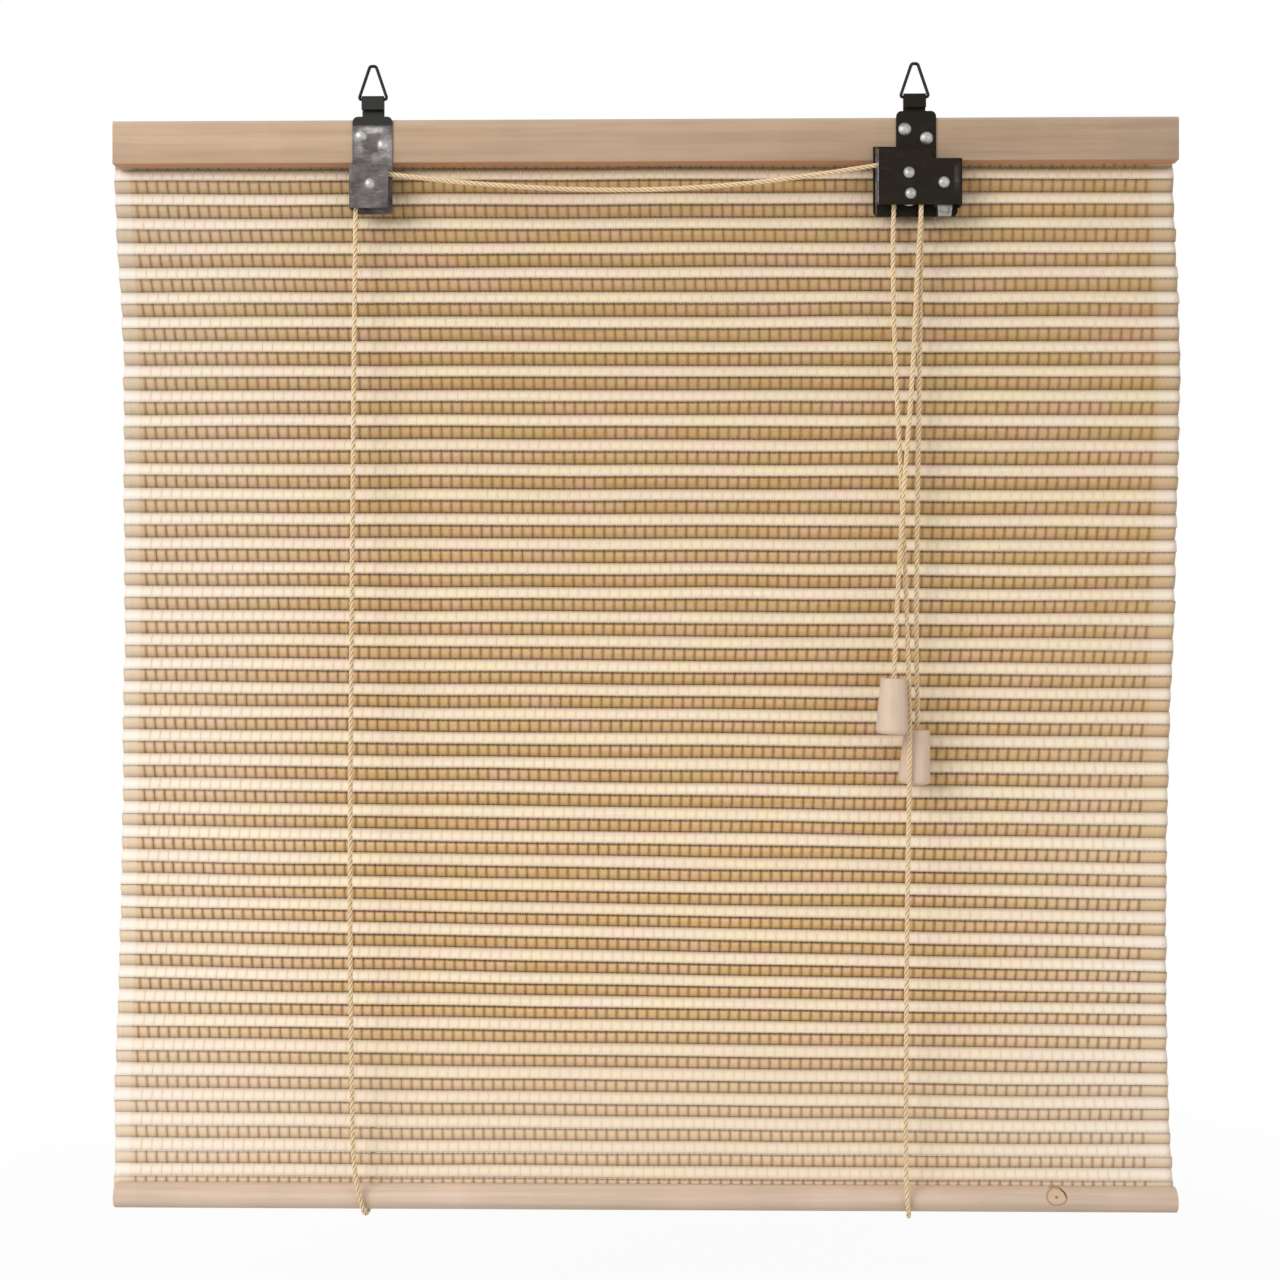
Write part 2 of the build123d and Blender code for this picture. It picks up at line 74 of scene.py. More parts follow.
def makeCamera(values):
    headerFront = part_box("header_rail")[0][1]
    data = bpy.data.cameras.new("view_camera")
    data.lens = values["lens"]
    data.sensor_width = values["sensor"]
    data.clip_start = values["clipStart"]
    camera = bpy.data.objects.new("view_camera", data)
    bpy.context.scene.collection.objects.link(camera)
    aim = Vector((values["aimX"], headerFront, values["aimZ"]))
    turn = math.radians(values["turn"])
    camera.location = aim + values["distance"] * Vector((math.sin(turn), -math.cos(turn), 0))
    camera.rotation_euler = (aim - camera.location).to_track_quat("-Z", "Y").to_euler()
    bpy.context.scene.camera = camera


makeCamera(cameraValues)


# Small helpers for nodes, colours and meshes
def tint(red, green, blue):
    def toLinear(level):
        level = level / 255
        return level / 12.92 if level <= 0.04045 else ((level + 0.055) / 1.055) ** 2.4
    return (toLinear(red), toLinear(green), toLinear(blue), 1)


def addNode(tree, kind, inputs=None, **settings):
    made = tree.nodes.new("ShaderNode" + kind)
    for key, value in settings.items():
        setattr(made, key, value)
    for key, value in (inputs or {}).items():
        plug(tree, value, made.inputs[key])
    return made


def plug(tree, value, socket):
    if isinstance(value, bpy.types.NodeSocket):
        tree.links.new(value, socket)
    else:
        socket.default_value = value


def calc(tree, operation, first, second=0.0, clamp=False):
    made = addNode(tree, "Math", {0: first, 1: second}, operation=operation, use_clamp=clamp)
    return made.outputs[0]


def product(tree, first, *others):
    for other in others:
        first = calc(tree, "MULTIPLY", first, other)
    return first


def without(tree, value, share=1.0):
    # What is left of 1 when this share of the value is taken off
    return calc(tree, "SUBTRACT", 1.0, calc(tree, "MULTIPLY", value, share))


def blendColour(tree, factor, first, second, mode="MIX"):
    made = addNode(tree, "Mix", {0: factor, 6: first, 7: second}, data_type="RGBA", blend_type=mode)
    return made.outputs[2]


def smoothRange(tree, value, low, high, toLow=0.0, toHigh=1.0):
    made = addNode(tree, "MapRange", {"Value": value}, interpolation_type="SMOOTHSTEP")
    made.inputs["From Min"].default_value = low
    made.inputs["From Max"].default_value = high
    made.inputs["To Min"].default_value = toLow
    made.inputs["To Max"].default_value = toHigh
    return made.outputs["Result"]


def noiseValue(tree, vector, scale, detail=3.0, roughness=0.5):
    made = addNode(tree, "TexNoise", {
        "Vector": vector, "Scale": scale, "Detail": detail, "Roughness": roughness,
    })
    return made.outputs["Fac"]


def stretched(tree, scale, place=(0, 0, 0), turn=(0, 0, 0)):
    where = addNode(tree, "TexCoord").outputs["Object"]
    made = addNode(tree, "Mapping", {"Vector": where, "Scale": scale, "Location": place, "Rotation": turn})
    return made.outputs["Vector"]


def bumpNormal(tree, height, strength, distance):
    made = addNode(tree, "Bump", {"Height": height, "Strength": strength, "Distance": distance})
    return made.outputs["Normal"]


def newMaterial(name):
    material = bpy.data.materials.new(name)
    material.use_nodes = True
    tree = material.node_tree
    tree.nodes.clear()
    shader = addNode(tree, "BsdfPrincipled")
    addNode(tree, "OutputMaterial", {"Surface": shader.outputs["BSDF"]})
    return material, tree, shader


def newGroup(name, inputs, outputs):
    group = bpy.data.node_groups.new(name, "ShaderNodeTree")
    for label, kind, value in inputs:
        socket = group.interface.new_socket(name=label, in_out="INPUT", socket_type="NodeSocket" + kind)
        if value is not None:
            socket.default_value = value
    for label, kind in outputs:
        group.interface.new_socket(name=label, in_out="OUTPUT", socket_type="NodeSocket" + kind)
    entry = group.nodes.new("NodeGroupInput")
    leave = group.nodes.new("NodeGroupOutput")
    return group, entry.outputs, leave.inputs


def useGroup(tree, group, inputs):
    made = tree.nodes.new("ShaderNodeGroup")
    made.node_tree = group
    for key, value in inputs.items():
        plug(tree, value, made.inputs[key])
    return made.outputs


def linkPiece(name, mesh, material, body="root"):
    piece = bpy.data.objects.new(name, mesh)
    bpy.context.scene.collection.objects.link(piece)
    piece.data.materials.clear()
    piece.data.materials.append(material)
    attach(piece, body)
    return piece


def dress(nodeNames, material):
    for nodeName in nodeNames:
        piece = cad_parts[nodeName]
        for place in piece.material_slots:
            place.material = material


# Shared effects
grainShape = {
    "streakRange": (0.3, 0.72),
    "fineScale": 4.3,
    "fineShare": 0.45,
    "fleckScale": 2.1,
    "fleckRange": (0.66, 0.78),
    "fleckDepth": 0.6,
}


def makeGrainGroup(values):
    group, given, result = newGroup(
        "wood grain",
        [("Vector", "Vector", None), ("Pale", "Color", (1, 1, 1, 1)), ("Dark", "Color", (0, 0, 0, 1)),
         ("Streaks", "Float", 0.5), ("Flecks", "Float", 0.3)],
        [("Color", "Color"), ("Height", "Float")],
    )
    broad = noiseValue(group, given["Vector"], 1.0, 5.0, 0.6)
    fine = noiseValue(group, given["Vector"], values["fineScale"], 3.0, 0.65)
    flecks = noiseValue(group, given["Vector"], values["fleckScale"], 1.0, 0.4)
    flecks = smoothRange(group, flecks, *values["fleckRange"])
    streaks = smoothRange(group, broad, *values["streakRange"])
    streaks = calc(group, "ADD", streaks, calc(group, "MULTIPLY", fine, values["fineShare"]))
    amount = calc(group, "MULTIPLY", streaks, given["Streaks"])
    amount = calc(group, "ADD", amount, calc(group, "MULTIPLY", flecks, given["Flecks"]), clamp=True)
    group.links.new(blendColour(group, amount, given["Pale"], given["Dark"]), result["Color"])
    height = calc(group, "SUBTRACT", fine, calc(group, "MULTIPLY", flecks, values["fleckDepth"]))
    group.links.new(height, result["Height"])
    return group


knotShape = {
    "squeeze": (1.0, 0.0, 1.28),    # wider than it is high
    "wobbleScale": 260.0,
    "wobble": 0.22,
    "rings": 24.0,
    "rim": (0.17, 0.04),
    "heart": (0.2, 0.08, 0.0, 0.7),
    "crack": (0.13, 0.05),
    "crackCorner": (0.0048, 0.0058),
}


def makeKnotGroup(values):
    group, given, result = newGroup(
        "branch knot",
        [("Centre", "Vector", (0, 0, 0)), ("Size", "Float", 0.006)],
        [("Inside", "Float"), ("Rim", "Float"), ("Heart", "Float"), ("Crack", "Float")],
    )
    where = addNode(group, "TexCoord").outputs["Object"]
    apart = addNode(group, "VectorMath", {0: where, 1: given["Centre"]}, operation="SUBTRACT").outputs[0]
    squeezed = addNode(group, "VectorMath", {0: apart, 1: values["squeeze"]}, operation="MULTIPLY").outputs[0]
    wobble = calc(group, "SUBTRACT", noiseValue(group, where, values["wobbleScale"], 2.0), 0.5)
    reach = addNode(group, "VectorMath", {0: squeezed}, operation="LENGTH").outputs["Value"]
    reach = calc(group, "DIVIDE", reach, given["Size"])
    reach = calc(group, "ADD", reach, calc(group, "MULTIPLY", wobble, values["wobble"]))
    rings = calc(group, "SINE", calc(group, "MULTIPLY", reach, values["rings"]))
    rings = smoothRange(group, rings, -1.0, 1.0, 0.7, 1.0)
    group.links.new(product(group, smoothRange(group, reach, 1.0, 0.85), rings), result["Inside"])
    fromRim = calc(group, "ABSOLUTE", calc(group, "SUBTRACT", reach, 1.0))
    group.links.new(smoothRange(group, fromRim, *values["rim"]), result["Rim"])
    group.links.new(smoothRange(group, reach, *values["heart"]), result["Heart"])
    parts = addNode(group, "SeparateXYZ", {0: apart}).outputs
    corner = calc(group, "ADD", parts["X"], calc(group, "MULTIPLY", parts["Z"], 0.7))
    corner = smoothRange(group, corner, *values["crackCorner"])
    group.links.new(product(group, smoothRange(group, fromRim, *values["crack"]), corner), result["Crack"])
    return group


def makeBlotchGroup():
    group, given, result = newGroup(
        "soft blotches",
        [("Color", "Color", (1, 1, 1, 1)), ("Scale", "Float", 30.0), ("Amount", "Float", 0.1)],
        [("Color", "Color")],
    )
    where = addNode(group, "TexCoord").outputs["Object"]
    level = noiseValue(group, where, given["Scale"], 3.0, 0.6)
    gain = calc(group, "SUBTRACT", level, 0.5)
    gain = calc(group, "MULTIPLY", gain, calc(group, "MULTIPLY", given["Amount"], 2.0))
    scaled = addNode(group, "VectorMath", {0: given["Color"]}, operation="SCALE")
    group.links.new(calc(group, "ADD", gain, 1.0), scaled.inputs["Scale"])
    group.links.new(scaled.outputs[0], result["Color"])
    return group


# Scales a colour between two gains along one axis; it carries the painted shade on the rail and on the slats
def makeFadeGroup():
    group, given, result = newGroup(
        "slow fade",
        [("Color", "Color", (1, 1, 1, 1)), ("Along", "Float", 0.0), ("Low", "Float", 0.0),
         ("High", "Float", 1.0), ("First", "Float", 1.0), ("Last", "Float", 1.0)],
        [("Color", "Color")],
    )
    gain = addNode(group, "MapRange", {
        "Value": given["Along"],
        "From Min": given["Low"],
        "From Max": given["High"],
        "To Min": given["First"],
        "To Max": given["Last"],
    }).outputs["Result"]
    scaled = addNode(group, "VectorMath", {0: given["Color"], "Scale": gain}, operation="SCALE")
    group.links.new(scaled.outputs[0], result["Color"])
    return group


grainGroup = makeGrainGroup(grainShape)
knotGroup = makeKnotGroup(knotShape)
blotchGroup = makeBlotchGroup()
fadeGroup = makeFadeGroup()


def placeAlong(tree, axis):
    where = addNode(tree, "TexCoord").outputs["Object"]
    return addNode(tree, "SeparateXYZ", {0: where}).outputs[axis]


# Wood of the header, the rail and the pulls
headerWood = {
    "pale": tint(189, 162, 135),
    "dark": tint(150, 119, 89),
    "streaks": 0.4,
    "flecks": 0.15,
    "scale": (6.0, 170.0, 170.0),
    "roughness": 0.62,
    "leftGain": 1.06,
    "rightGain": 0.79,
    "topGain": 1.04,
    "lowGain": 0.92,
    "top": -0.001,
    "bottom": -0.024,
    # painted shade on the bottom face, darker than the front
    "paintedUndersideShade": tint(186, 140, 108),
    "strip": tint(184, 176, 166),   # along the front's upper edge
    "stripAmount": 0.55,
}
railWood = {
    "pale": tint(212, 190, 170),
    "dark": tint(176, 148, 124),
    "streaks": 0.42,
    "flecks": 0.2,
    "scale": (5.0, 230.0, 230.0),
    "roughness": 0.6,
    # painted shade: the rounded front lighter at the top and darker below, and a little darker to the right
    "leftGain": 1.04,
    "rightGain": 0.96,
    "topGain": 1.08,
    "lowGain": 0.84,
    "top": -0.604,
    "bottom": -0.616,
    "knot": (0.2320, 0.0, -0.6064),
    "knotSize": 0.0054,
    "knotColour": tint(206, 174, 136),
    "knotRim": tint(146, 108, 76),
    "heartColour": tint(92, 60, 38),
}
pullWood = {
    "pale": tint(211, 189, 169),
    "dark": tint(184, 156, 130),
    "streaks": 0.3,
    "flecks": 0.12,
    "scale": (330.0, 330.0, 16.0),
    "roughness": 0.5,
    "leftGain": 1.0,
    "rightGain": 1.0,
    "topGain": 1.0,
    "lowGain": 1.0,
    "top": 0.0,
    "bottom": -1.0,
}


# Shared by the three woods
woodFinish = {
    "halfWidth": 0.3,           # the sideways fade runs over this, on both sides of the middle
    "blotchScale": 22.0,
    "blotchAmount": 0.14,
    "knotAmount": 0.55,
    "rimAmount": 0.6,
    "crackDepth": 2.0,
    "grainRoughness": 0.12,
    "relief": 0.25,
    "reliefDepth": 0.0002,
    "shine": 0.35,
}


def makeWood(name, values, finish):
    material, tree, shader = newMaterial(name)
    grain = useGroup(tree, grainGroup, {
        "Vector": stretched(tree, values["scale"]),
        "Pale": values["pale"],
        "Dark": values["dark"],
        "Streaks": values["streaks"],
        "Flecks": values["flecks"],
    })
    colour = useGroup(tree, blotchGroup, {
        "Color": grain["Color"], "Scale": finish["blotchScale"], "Amount": finish["blotchAmount"],
    })["Color"]
    # Colour scaled along X and Z: painted shade on the rail's rounded front; on the header, darker to the
    # right and towards the bottom
    for axis, low, high, first, last in (
        ("X", -finish["halfWidth"], finish["halfWidth"], values["leftGain"], values["rightGain"]),
        ("Z", values["top"], values["bottom"], values["topGain"], values["lowGain"]),
    ):
        colour = useGroup(tree, fadeGroup, {
            "Color": colour,
            "Along": placeAlong(tree, axis),
            "Low": low,
            "High": high,
            "First": first,
            "Last": last,
        })["Color"]
    if "paintedUndersideShade" in values:
        upright = placeAlong(tree, "Z")
        # Painted shade: the bottom face darkened for the shade beneath the header
        under = smoothRange(tree, upright, values["bottom"] - 0.0002, values["bottom"] - 0.00045)
        colour = blendColour(tree, under, colour, values["paintedUndersideShade"])
        low, high = values["top"] - 0.0012, values["top"] + 0.0002
        strip = smoothRange(tree, upright, low, high, 0.0, values["stripAmount"])
        colour = blendColour(tree, strip, colour, values["strip"])
    height = grain["Height"]
    if "knot" in values:
        knot = useGroup(tree, knotGroup, {"Centre": values["knot"], "Size": values["knotSize"]})
        inside = calc(tree, "MULTIPLY", knot["Inside"], finish["knotAmount"])
        colour = blendColour(tree, inside, colour, values["knotColour"])
        rim = calc(tree, "MULTIPLY", knot["Rim"], finish["rimAmount"])
        colour = blendColour(tree, rim, colour, values["knotRim"])
        colour = blendColour(tree, knot["Heart"], colour, values["heartColour"])
        colour = blendColour(tree, knot["Crack"], colour, values["heartColour"])
        height = calc(tree, "SUBTRACT", height, calc(tree, "MULTIPLY", knot["Crack"], finish["crackDepth"]))
    plug(tree, colour, shader.inputs["Base Color"])
    roughness = calc(tree, "MULTIPLY", grain["Height"], finish["grainRoughness"])
    plug(tree, calc(tree, "ADD", roughness, values["roughness"]), shader.inputs["Roughness"])
    plug(tree, bumpNormal(tree, height, finish["relief"], finish["reliefDepth"]), shader.inputs["Normal"])
    shader.inputs["Specular IOR Level"].default_value = finish["shine"]
    return material


dress(["header_rail"], makeWood("header pine", headerWood, woodFinish))
dress(["bottom_rail"], makeWood("rail pine", railWood, woodFinish))
dress(["left_pull", "right_pull"], makeWood("turned pull wood", pullWood, woodFinish))
print("wood dressed")


# Cords, with sizes in millimetres
cordValues = {
    "diameter": 2.5,
    "strandRadius": 0.69,
    "strandOffset": 0.72,
    "lay": 10.0,            # length of one turn of the three strands
    "step": 0.95,
    "pale": tint(236, 212, 172),
    "dark": tint(214, 184, 142),
    # painted shade in the grooves between the strands
    "groove": tint(160, 124, 84),
    "grooveRange": (0.84, 0.5),
    "fibreScale": (1800.0, 1800.0, 700.0),
    "fibreAmount": 0.7,
    "broadScale": (40.0, 40.0, 25.0),
    "broadAmount": 0.35,
    "relief": 0.6,
    "reliefDepth": 0.00015,
    "roughness": 0.85,
    "sheen": 0.15,
}
# From the staple behind the header to the loop under the rail: left cord's x, right cord's x, y, z
cordBackRun = (
    (-152.0, 150.2, 6.15, -1.2),
    (-152.0, 150.2, 6.15, -5.6),
    (-152.2, 150.3, 11.0, -11.4),
    (-152.3, 150.2, 11.2, -22.0),
    (-152.5, 150.0, 11.6, -42.0),
    (-152.7, 149.8, 12.5, -80.0),
    (-152.9, 149.7, 14.3, -130.0),
    (-153.1, 149.7, 17.4, -185.0),
    (-153.3, 149.8, 20.9, -243.0),
    (-153.5, 150.0, 24.0, -300.0),
    (-153.8, 150.3, 25.7, -358.0),
    (-154.0, 150.7, 25.9, -414.0),
    (-154.3, 151.1, 23.8, -466.0),
    (-154.6, 151.5, 19.6, -514.0),
    (-154.9, 151.8, 14.8, -554.0),
    (-155.2, 151.9, 11.9, -586.0),
    (-155.6, 151.4, 10.9, -614.6),
    (-156.8, 149.9, 1.7, -619.9),
    (-157.9, 148.4, -7.5, -614.6),
)
# And on, up the front and through the metalwork, to the knot
leftFrontRun = (
    (-163.2, -7.8, -588.0),
    (-163.6, -7.85, -560.0),
    (-165.0, -8.2, -440.0),
    (-163.7, -8.7, -273.0),
    (-161.6, -9.2, -60.0),
    (-161.1, -9.23, -46.0),
    (-160.8, -9.25, -34.76),
    (-155.48, -9.25, -30.15),
    (-148.0, -9.27, -31.2),
    (-140.6, -9.3, -32.4),
    (-111.1, -9.45, -36.2),
    (-73.7, -9.65, -39.4),
    (-36.6, -9.85, -41.5),
    (0.3, -10.0, -41.9),
    (37.0, -10.2, -40.3),
    (75.0, -10.4, -36.9),
    (111.8, -10.6, -31.6),
    (136.0, -10.75, -27.9),
    (143.5, -10.75, -27.3),
    (150.2, -10.75, -27.0),
    (154.25, -10.75, -30.5),
    (155.1, -10.75, -38.0),
    (155.7, -10.75, -47.0),
    (152.4, -10.9, -98.0),
    (150.4, -11.1, -146.0),
    (146.7, -11.6, -192.0),
    (143.7, -12.1, -236.0),
    (141.5, -12.45, -276.0),
    (139.9, -12.55, -312.0),
    (138.9, -12.6, -337.5),
)
rightFrontRun = (
    (146.9, -7.5, -588.0),
    (147.2, -7.5, -510.0),
    (148.2, -7.45, -412.0),
    (149.7, -7.4, -350.0),
    (147.9, -7.45, -286.0),
    (145.0, -7.55, -215.0),
    (141.5, -7.65, -148.0),
    (139.6, -7.7, -92.0),
    (140.2, -7.75, -50.0),
    (141.1, -7.75, -40.0),
    (142.3, -7.75, -29.3),
    (148.3, -7.75, -26.3),
    (154.2, -7.75, -29.8),
    (155.1, -7.75, -38.0),
    (155.7, -7.75, -47.0),
    (155.3, -7.45, -100.0),
    (154.6, -6.5, -152.0),
    (154.1, -4.6, -206.0),
    (153.8, -2.0, -258.0),
    (154.2, 0.9, -305.0),
    (155.2, 2.6, -338.0),
    (153.5, 3.3, -366.5),
)


def makeCordMaterial(values):
    material, tree, shader = newMaterial("twisted cotton")
    fibres = noiseValue(tree, stretched(tree, values["fibreScale"]), 1.0, 3.0, 0.65)
    broad = noiseValue(tree, stretched(tree, values["broadScale"]), 1.0, 2.0)
    amount = calc(
        tree, "ADD",
        calc(tree, "MULTIPLY", fibres, values["fibreAmount"]),
        calc(tree, "MULTIPLY", broad, values["broadAmount"]),
    )
    colour = blendColour(tree, smoothRange(tree, amount, 0.3, 0.8), values["pale"], values["dark"])
    # Painted shade where the strands meet
    depth = addNode(tree, "Attribute", attribute_name="depth").outputs["Fac"]
    colour = blendColour(tree, smoothRange(tree, depth, *values["grooveRange"]), colour, values["groove"])
    plug(tree, colour, shader.inputs["Base Color"])
    plug(tree, bumpNormal(tree, fibres, values["relief"], values["reliefDepth"]), shader.inputs["Normal"])
    shader.inputs["Roughness"].default_value = values["roughness"]
    shader.inputs["Sheen Weight"].default_value = values["sheen"]
    return material


def routeSpline(name, route):
    curve = bpy.data.curves.new(name, "CURVE")
    curve.dimensions = "3D"
    spline = curve.splines.new("NURBS")
    spline.points.add(len(route) - 1)
    for point, place in zip(spline.points, route):
        point.co = (place[0] * mm, place[1] * mm, place[2] * mm, 1)
    spline.order_u = 3
    spline.use_endpoint_u = True
    spline.resolution_u = 16
    carrier = bpy.data.objects.new(name, curve)
    bpy.context.scene.collection.objects.link(carrier)
    bpy.context.view_layer.update()
    sampled = bpy.data.meshes.new_from_object(carrier)
    points = [vertex.co.copy() for vertex in sampled.vertices]
    bpy.data.objects.remove(carrier)
    bpy.data.meshes.remove(sampled)
    return points


def evenWalk(points, step):
    # Places along the line at even steps, each with its direction
    walk = []
    left = 0.0
    for start, end in zip(points, points[1:]):
        run = (end - start).length
        if run < 1e-9:
            continue
        along = (end - start) / run
        while left <= run:
            walk.append((start + along * left, along))
            left += step
        left -= run
    walk.append((points[-1].copy(), walk[-1][1]))
    return walk


def tubeMesh(name, lines, radius, resolution=1, cyclic=False):
    curve = bpy.data.curves.new(name, "CURVE")
    curve.dimensions = "3D"
    curve.bevel_depth = radius
    curve.bevel_resolution = resolution
    curve.use_fill_caps = not cyclic
    for line in lines:
        spline = curve.splines.new("POLY")
        spline.points.add(len(line) - 1)
        for point, place in zip(spline.points, line):
            point.co = (place[0], place[1], place[2], 1)
        spline.use_cyclic_u = cyclic
        spline.use_smooth = True
    carrier = bpy.data.objects.new(name, curve)
    bpy.context.scene.collection.objects.link(carrier)
    bpy.context.view_layer.update()
    mesh = bpy.data.meshes.new_from_object(carrier)
    mesh.name = name
    bpy.data.objects.remove(carrier)
    return mesh


def strandLines(walk, values):
    # Three strands wound round the walk; the side vector is carried along so that it never flips
    side = Vector((0, 1, 0))
    lines = [[], [], []]
    for number, (place, along) in enumerate(walk):
        side = (side - along * side.dot(along)).normalized()
        across = along.cross(side)
        for strand in range(3):
            turn = math.tau * (number * values["step"] / values["lay"] + strand / 3)
            offset = side * math.cos(turn) + across * math.sin(turn)
            lines[strand].append(place + offset * values["strandOffset"] * mm)
    return lines


def markDepth(mesh, walk, reach):
    # How far out each point of the strands lies, so that the grooves between them get painted shade
    finder = kdtree.KDTree(len(walk))
    for number, (place, along) in enumerate(walk):
        finder.insert(place, number)
    finder.balance()
    layer = mesh.attributes.new("depth", "FLOAT", "POINT")
    for vertex in mesh.vertices:
        place, number, distance = finder.find(vertex.co)
        along = walk[number][1]
        apart = vertex.co - place
        apart -= along * apart.dot(along)
        layer.data[vertex.index].value = apart.length / reach


def makeCord(name, route, material):
    points = routeSpline(name + "_route", route)
    walk = evenWalk(points, cordValues["step"] * mm)
    mesh = tubeMesh(name, strandLines(walk, cordValues), cordValues["strandRadius"] * mm)
    markDepth(mesh, walk, (cordValues["strandOffset"] + cordValues["strandRadius"]) * mm)
    return linkPiece(name, mesh, material), points


knotValues = {"width": 0.74, "height": 1.7, "radius": 1.12, "points": 60, "depth": 0.8}


def makeKnot(name, nodeName, material, values):
    low, high = (Vector(corner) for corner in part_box(nodeName))
    middle = (low + high) / 2
    line = []
    for number in range(values["points"]):
        turn = math.tau * number / values["points"]
        line.append(middle + mm * Vector((
            values["width"] * (math.sin(turn) + 2 * math.sin(2 * turn)),
            values["width"] * (math.cos(turn) - 2 * math.cos(2 * turn)),
            -values["height"] * math.sin(3 * turn),
        )))
    mesh = tubeMesh(name, [line], values["radius"] * mm, 3, True)
    layer = mesh.attributes.new("depth", "FLOAT", "POINT")
    for entry in layer.data:
        entry.value = values["depth"]
    knot = linkPiece(name, mesh, material)
    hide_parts(nodeName)
    return knot


def runLength(points):
    return sum((end - start).length for start, end in zip(points, points[1:]))


def makeCords():
    material = makeCordMaterial(cordValues)
    for column, (side, frontRun) in enumerate((("left", leftFrontRun), ("right", rightFrontRun))):
        route = [(row[column], row[2], row[3]) for row in cordBackRun] + list(frontRun)
        cord, points = makeCord(side + "_twisted_cord", route, material)
        knot = makeKnot(side + "_tied_knot", side + "_pull_knot", material, knotValues)
        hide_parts(side + "_cord")
        length = runLength(points)
        print(side, "cord length", round(length, 4))


makeCords()
print("cords made")


# Woven mat: leaning slats and the warp threads that tie them, in millimetres
matValues = {
    "slatCount": 87,
    "lean": 18.5,           # degrees
    "thickness": 1.05,
    "bowDepth": 11.5,
    "bowLowShare": 4.5,
    "crown": 0.28,          # how far a slat's middle stands out
    "pillow": 0.26,         # how far it swells between two threads
    "ridgeGap": 0.5,
    "valleyGap": 0.02,
    "sideReach": 1.4,       # beyond the solid's ends
    "threadFrom": -288.4,
    "threadTo": 285.4,
    "threadCount": 98,
    "threadRadius": 0.25,
    "threadAtEdge": 0.12,   # how far it stands out at a slat's edges
    "endSpread": 0.8,
    "endSwell": 0.6,        # share of the pillow outside the last thread
    "flatRows": 9,          # lowest rows that lie flatter, and by what share
    "flatLeft": 0.62,
    "flatRight": 0.4,
    "wave": 0.28,
    "waveScale": (0.012, 0.22),
    "wavePlace": 3.1,
    "seed": 7,
}
# How far the mat's middle stands to the right, by share of the way down
matDrift = ((0.0, -1.1), (0.2, 3.3), (0.4, 2.2), (0.6, -0.4), (0.68, -1.4), (0.9, -2.6), (1.0, -1.5))

# How far the rows have settled: share of the way down, drop in the middle, and more of it at the right edge
matSettle = (
    (0.0, -0.3, 0.5),
    (0.2, 0.7, 0.7),
    (0.4, 2.5, 1.2),
    (0.52, 3.1, 2.0),
    (0.68, 5.2, 3.4),
    (0.76, 4.2, 4.6),
    (0.86, 1.2, 2.4),
    (1.0, 0.0, 0.3),
)

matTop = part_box("slat_mat")[1][2] / mm
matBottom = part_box("slat_mat")[0][2] / mm
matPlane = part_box("header_rail")[1][1] / mm
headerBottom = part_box("header_rail")[0][2] / mm
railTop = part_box("bottom_rail")[1][2] / mm
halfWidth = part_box("slat_mat")[1][0] / mm + matValues["sideReach"]
slatPitch = (matTop - matBottom) / matValues["slatCount"]
leanDepth = slatPitch * math.tan(math.radians(matValues["lean"]))
threadStep = (matValues["threadTo"] - matValues["threadFrom"]) / matValues["threadCount"]


def matShare(z):
    return min(1.0, max(0.0, (headerBottom - z) / (headerBottom - railTop)))


def matBow(z):
    share = matShare(z)
    full = matValues["bowDepth"] * math.sin(math.pi * share)
    return full - matValues["bowLowShare"] * math.sin(2 * math.pi * share)


def tableAt(table, share, column):
    for start, end in zip(table, table[1:]):
        if share <= end[0]:
            along = (share - start[0]) / (end[0] - start[0])
            along = along * along * (3 - 2 * along)
            return start[column] + (end[column] - start[column]) * along
    return table[-1][column]


def driftAt(z):
    return tableAt(matDrift, matShare(z), 1)


def settleAt(z, x):
    share = matShare(z)
    return tableAt(matSettle, share, 1) + tableAt(matSettle, share, 2) * x / halfWidth


def slatWave(x, slat):
    # Rows are slightly wavy, and neighbours wave nearly together
    along, down = matValues["waveScale"]
    return matValues["wave"] * noise.noise(Vector((x * along, slat * down, matValues["wavePlace"]))) * 2


def flatAt(slat, x):
    # The lowest slats lie flatter, most of all at the left
    rows = matValues["flatRows"]
    low = max(0.0, (slat - matValues["slatCount"] + rows) / rows)
    return 1.0 - low * (matValues["flatLeft"] if x < 0 else matValues["flatRight"])


def jointPlace(joint, x, slat):
    z = matTop - joint * slatPitch
    inset = 0 if joint % 2 else leanDepth
    inset = leanDepth / 2 + (inset - leanDepth / 2) * flatAt(slat, x)
    return Vector((x + driftAt(z), matPlane + matBow(z) + inset, z + slatWave(x, joint) - settleAt(z, x)))


def onSlat(slat, x, share, out=0.0):
    # A place on the slat's front face; share runs from its top edge to its bottom edge
    top = jointPlace(slat, x, slat)
    bottom = jointPlace(slat + 1, x, slat)
    gapTop = matValues["ridgeGap"] if slat % 2 else matValues["valleyGap"]
    gapBottom = matValues["valleyGap"] if slat % 2 else matValues["ridgeGap"]
    length = (bottom - top).length
    start = gapTop / 2 / length
    end = 1 - gapBottom / 2 / length
    along = start + (end - start) * share
    forward = Vector((0, bottom.z - top.z, bottom.y - top.y)).normalized()
    return top.lerp(bottom, along) + forward * out


def slatColumns():
    first = matValues["threadFrom"]
    half = threadStep / 2
    before = int((first + halfWidth) / half)
    columns = [first + half * number for number in range(-before, 2 * matValues["threadCount"] + 1)]
    while columns[-1] + half < halfWidth:
        columns.append(columns[-1] + half)
    columns[0] = -halfWidth
    columns[-1] = halfWidth
    return columns


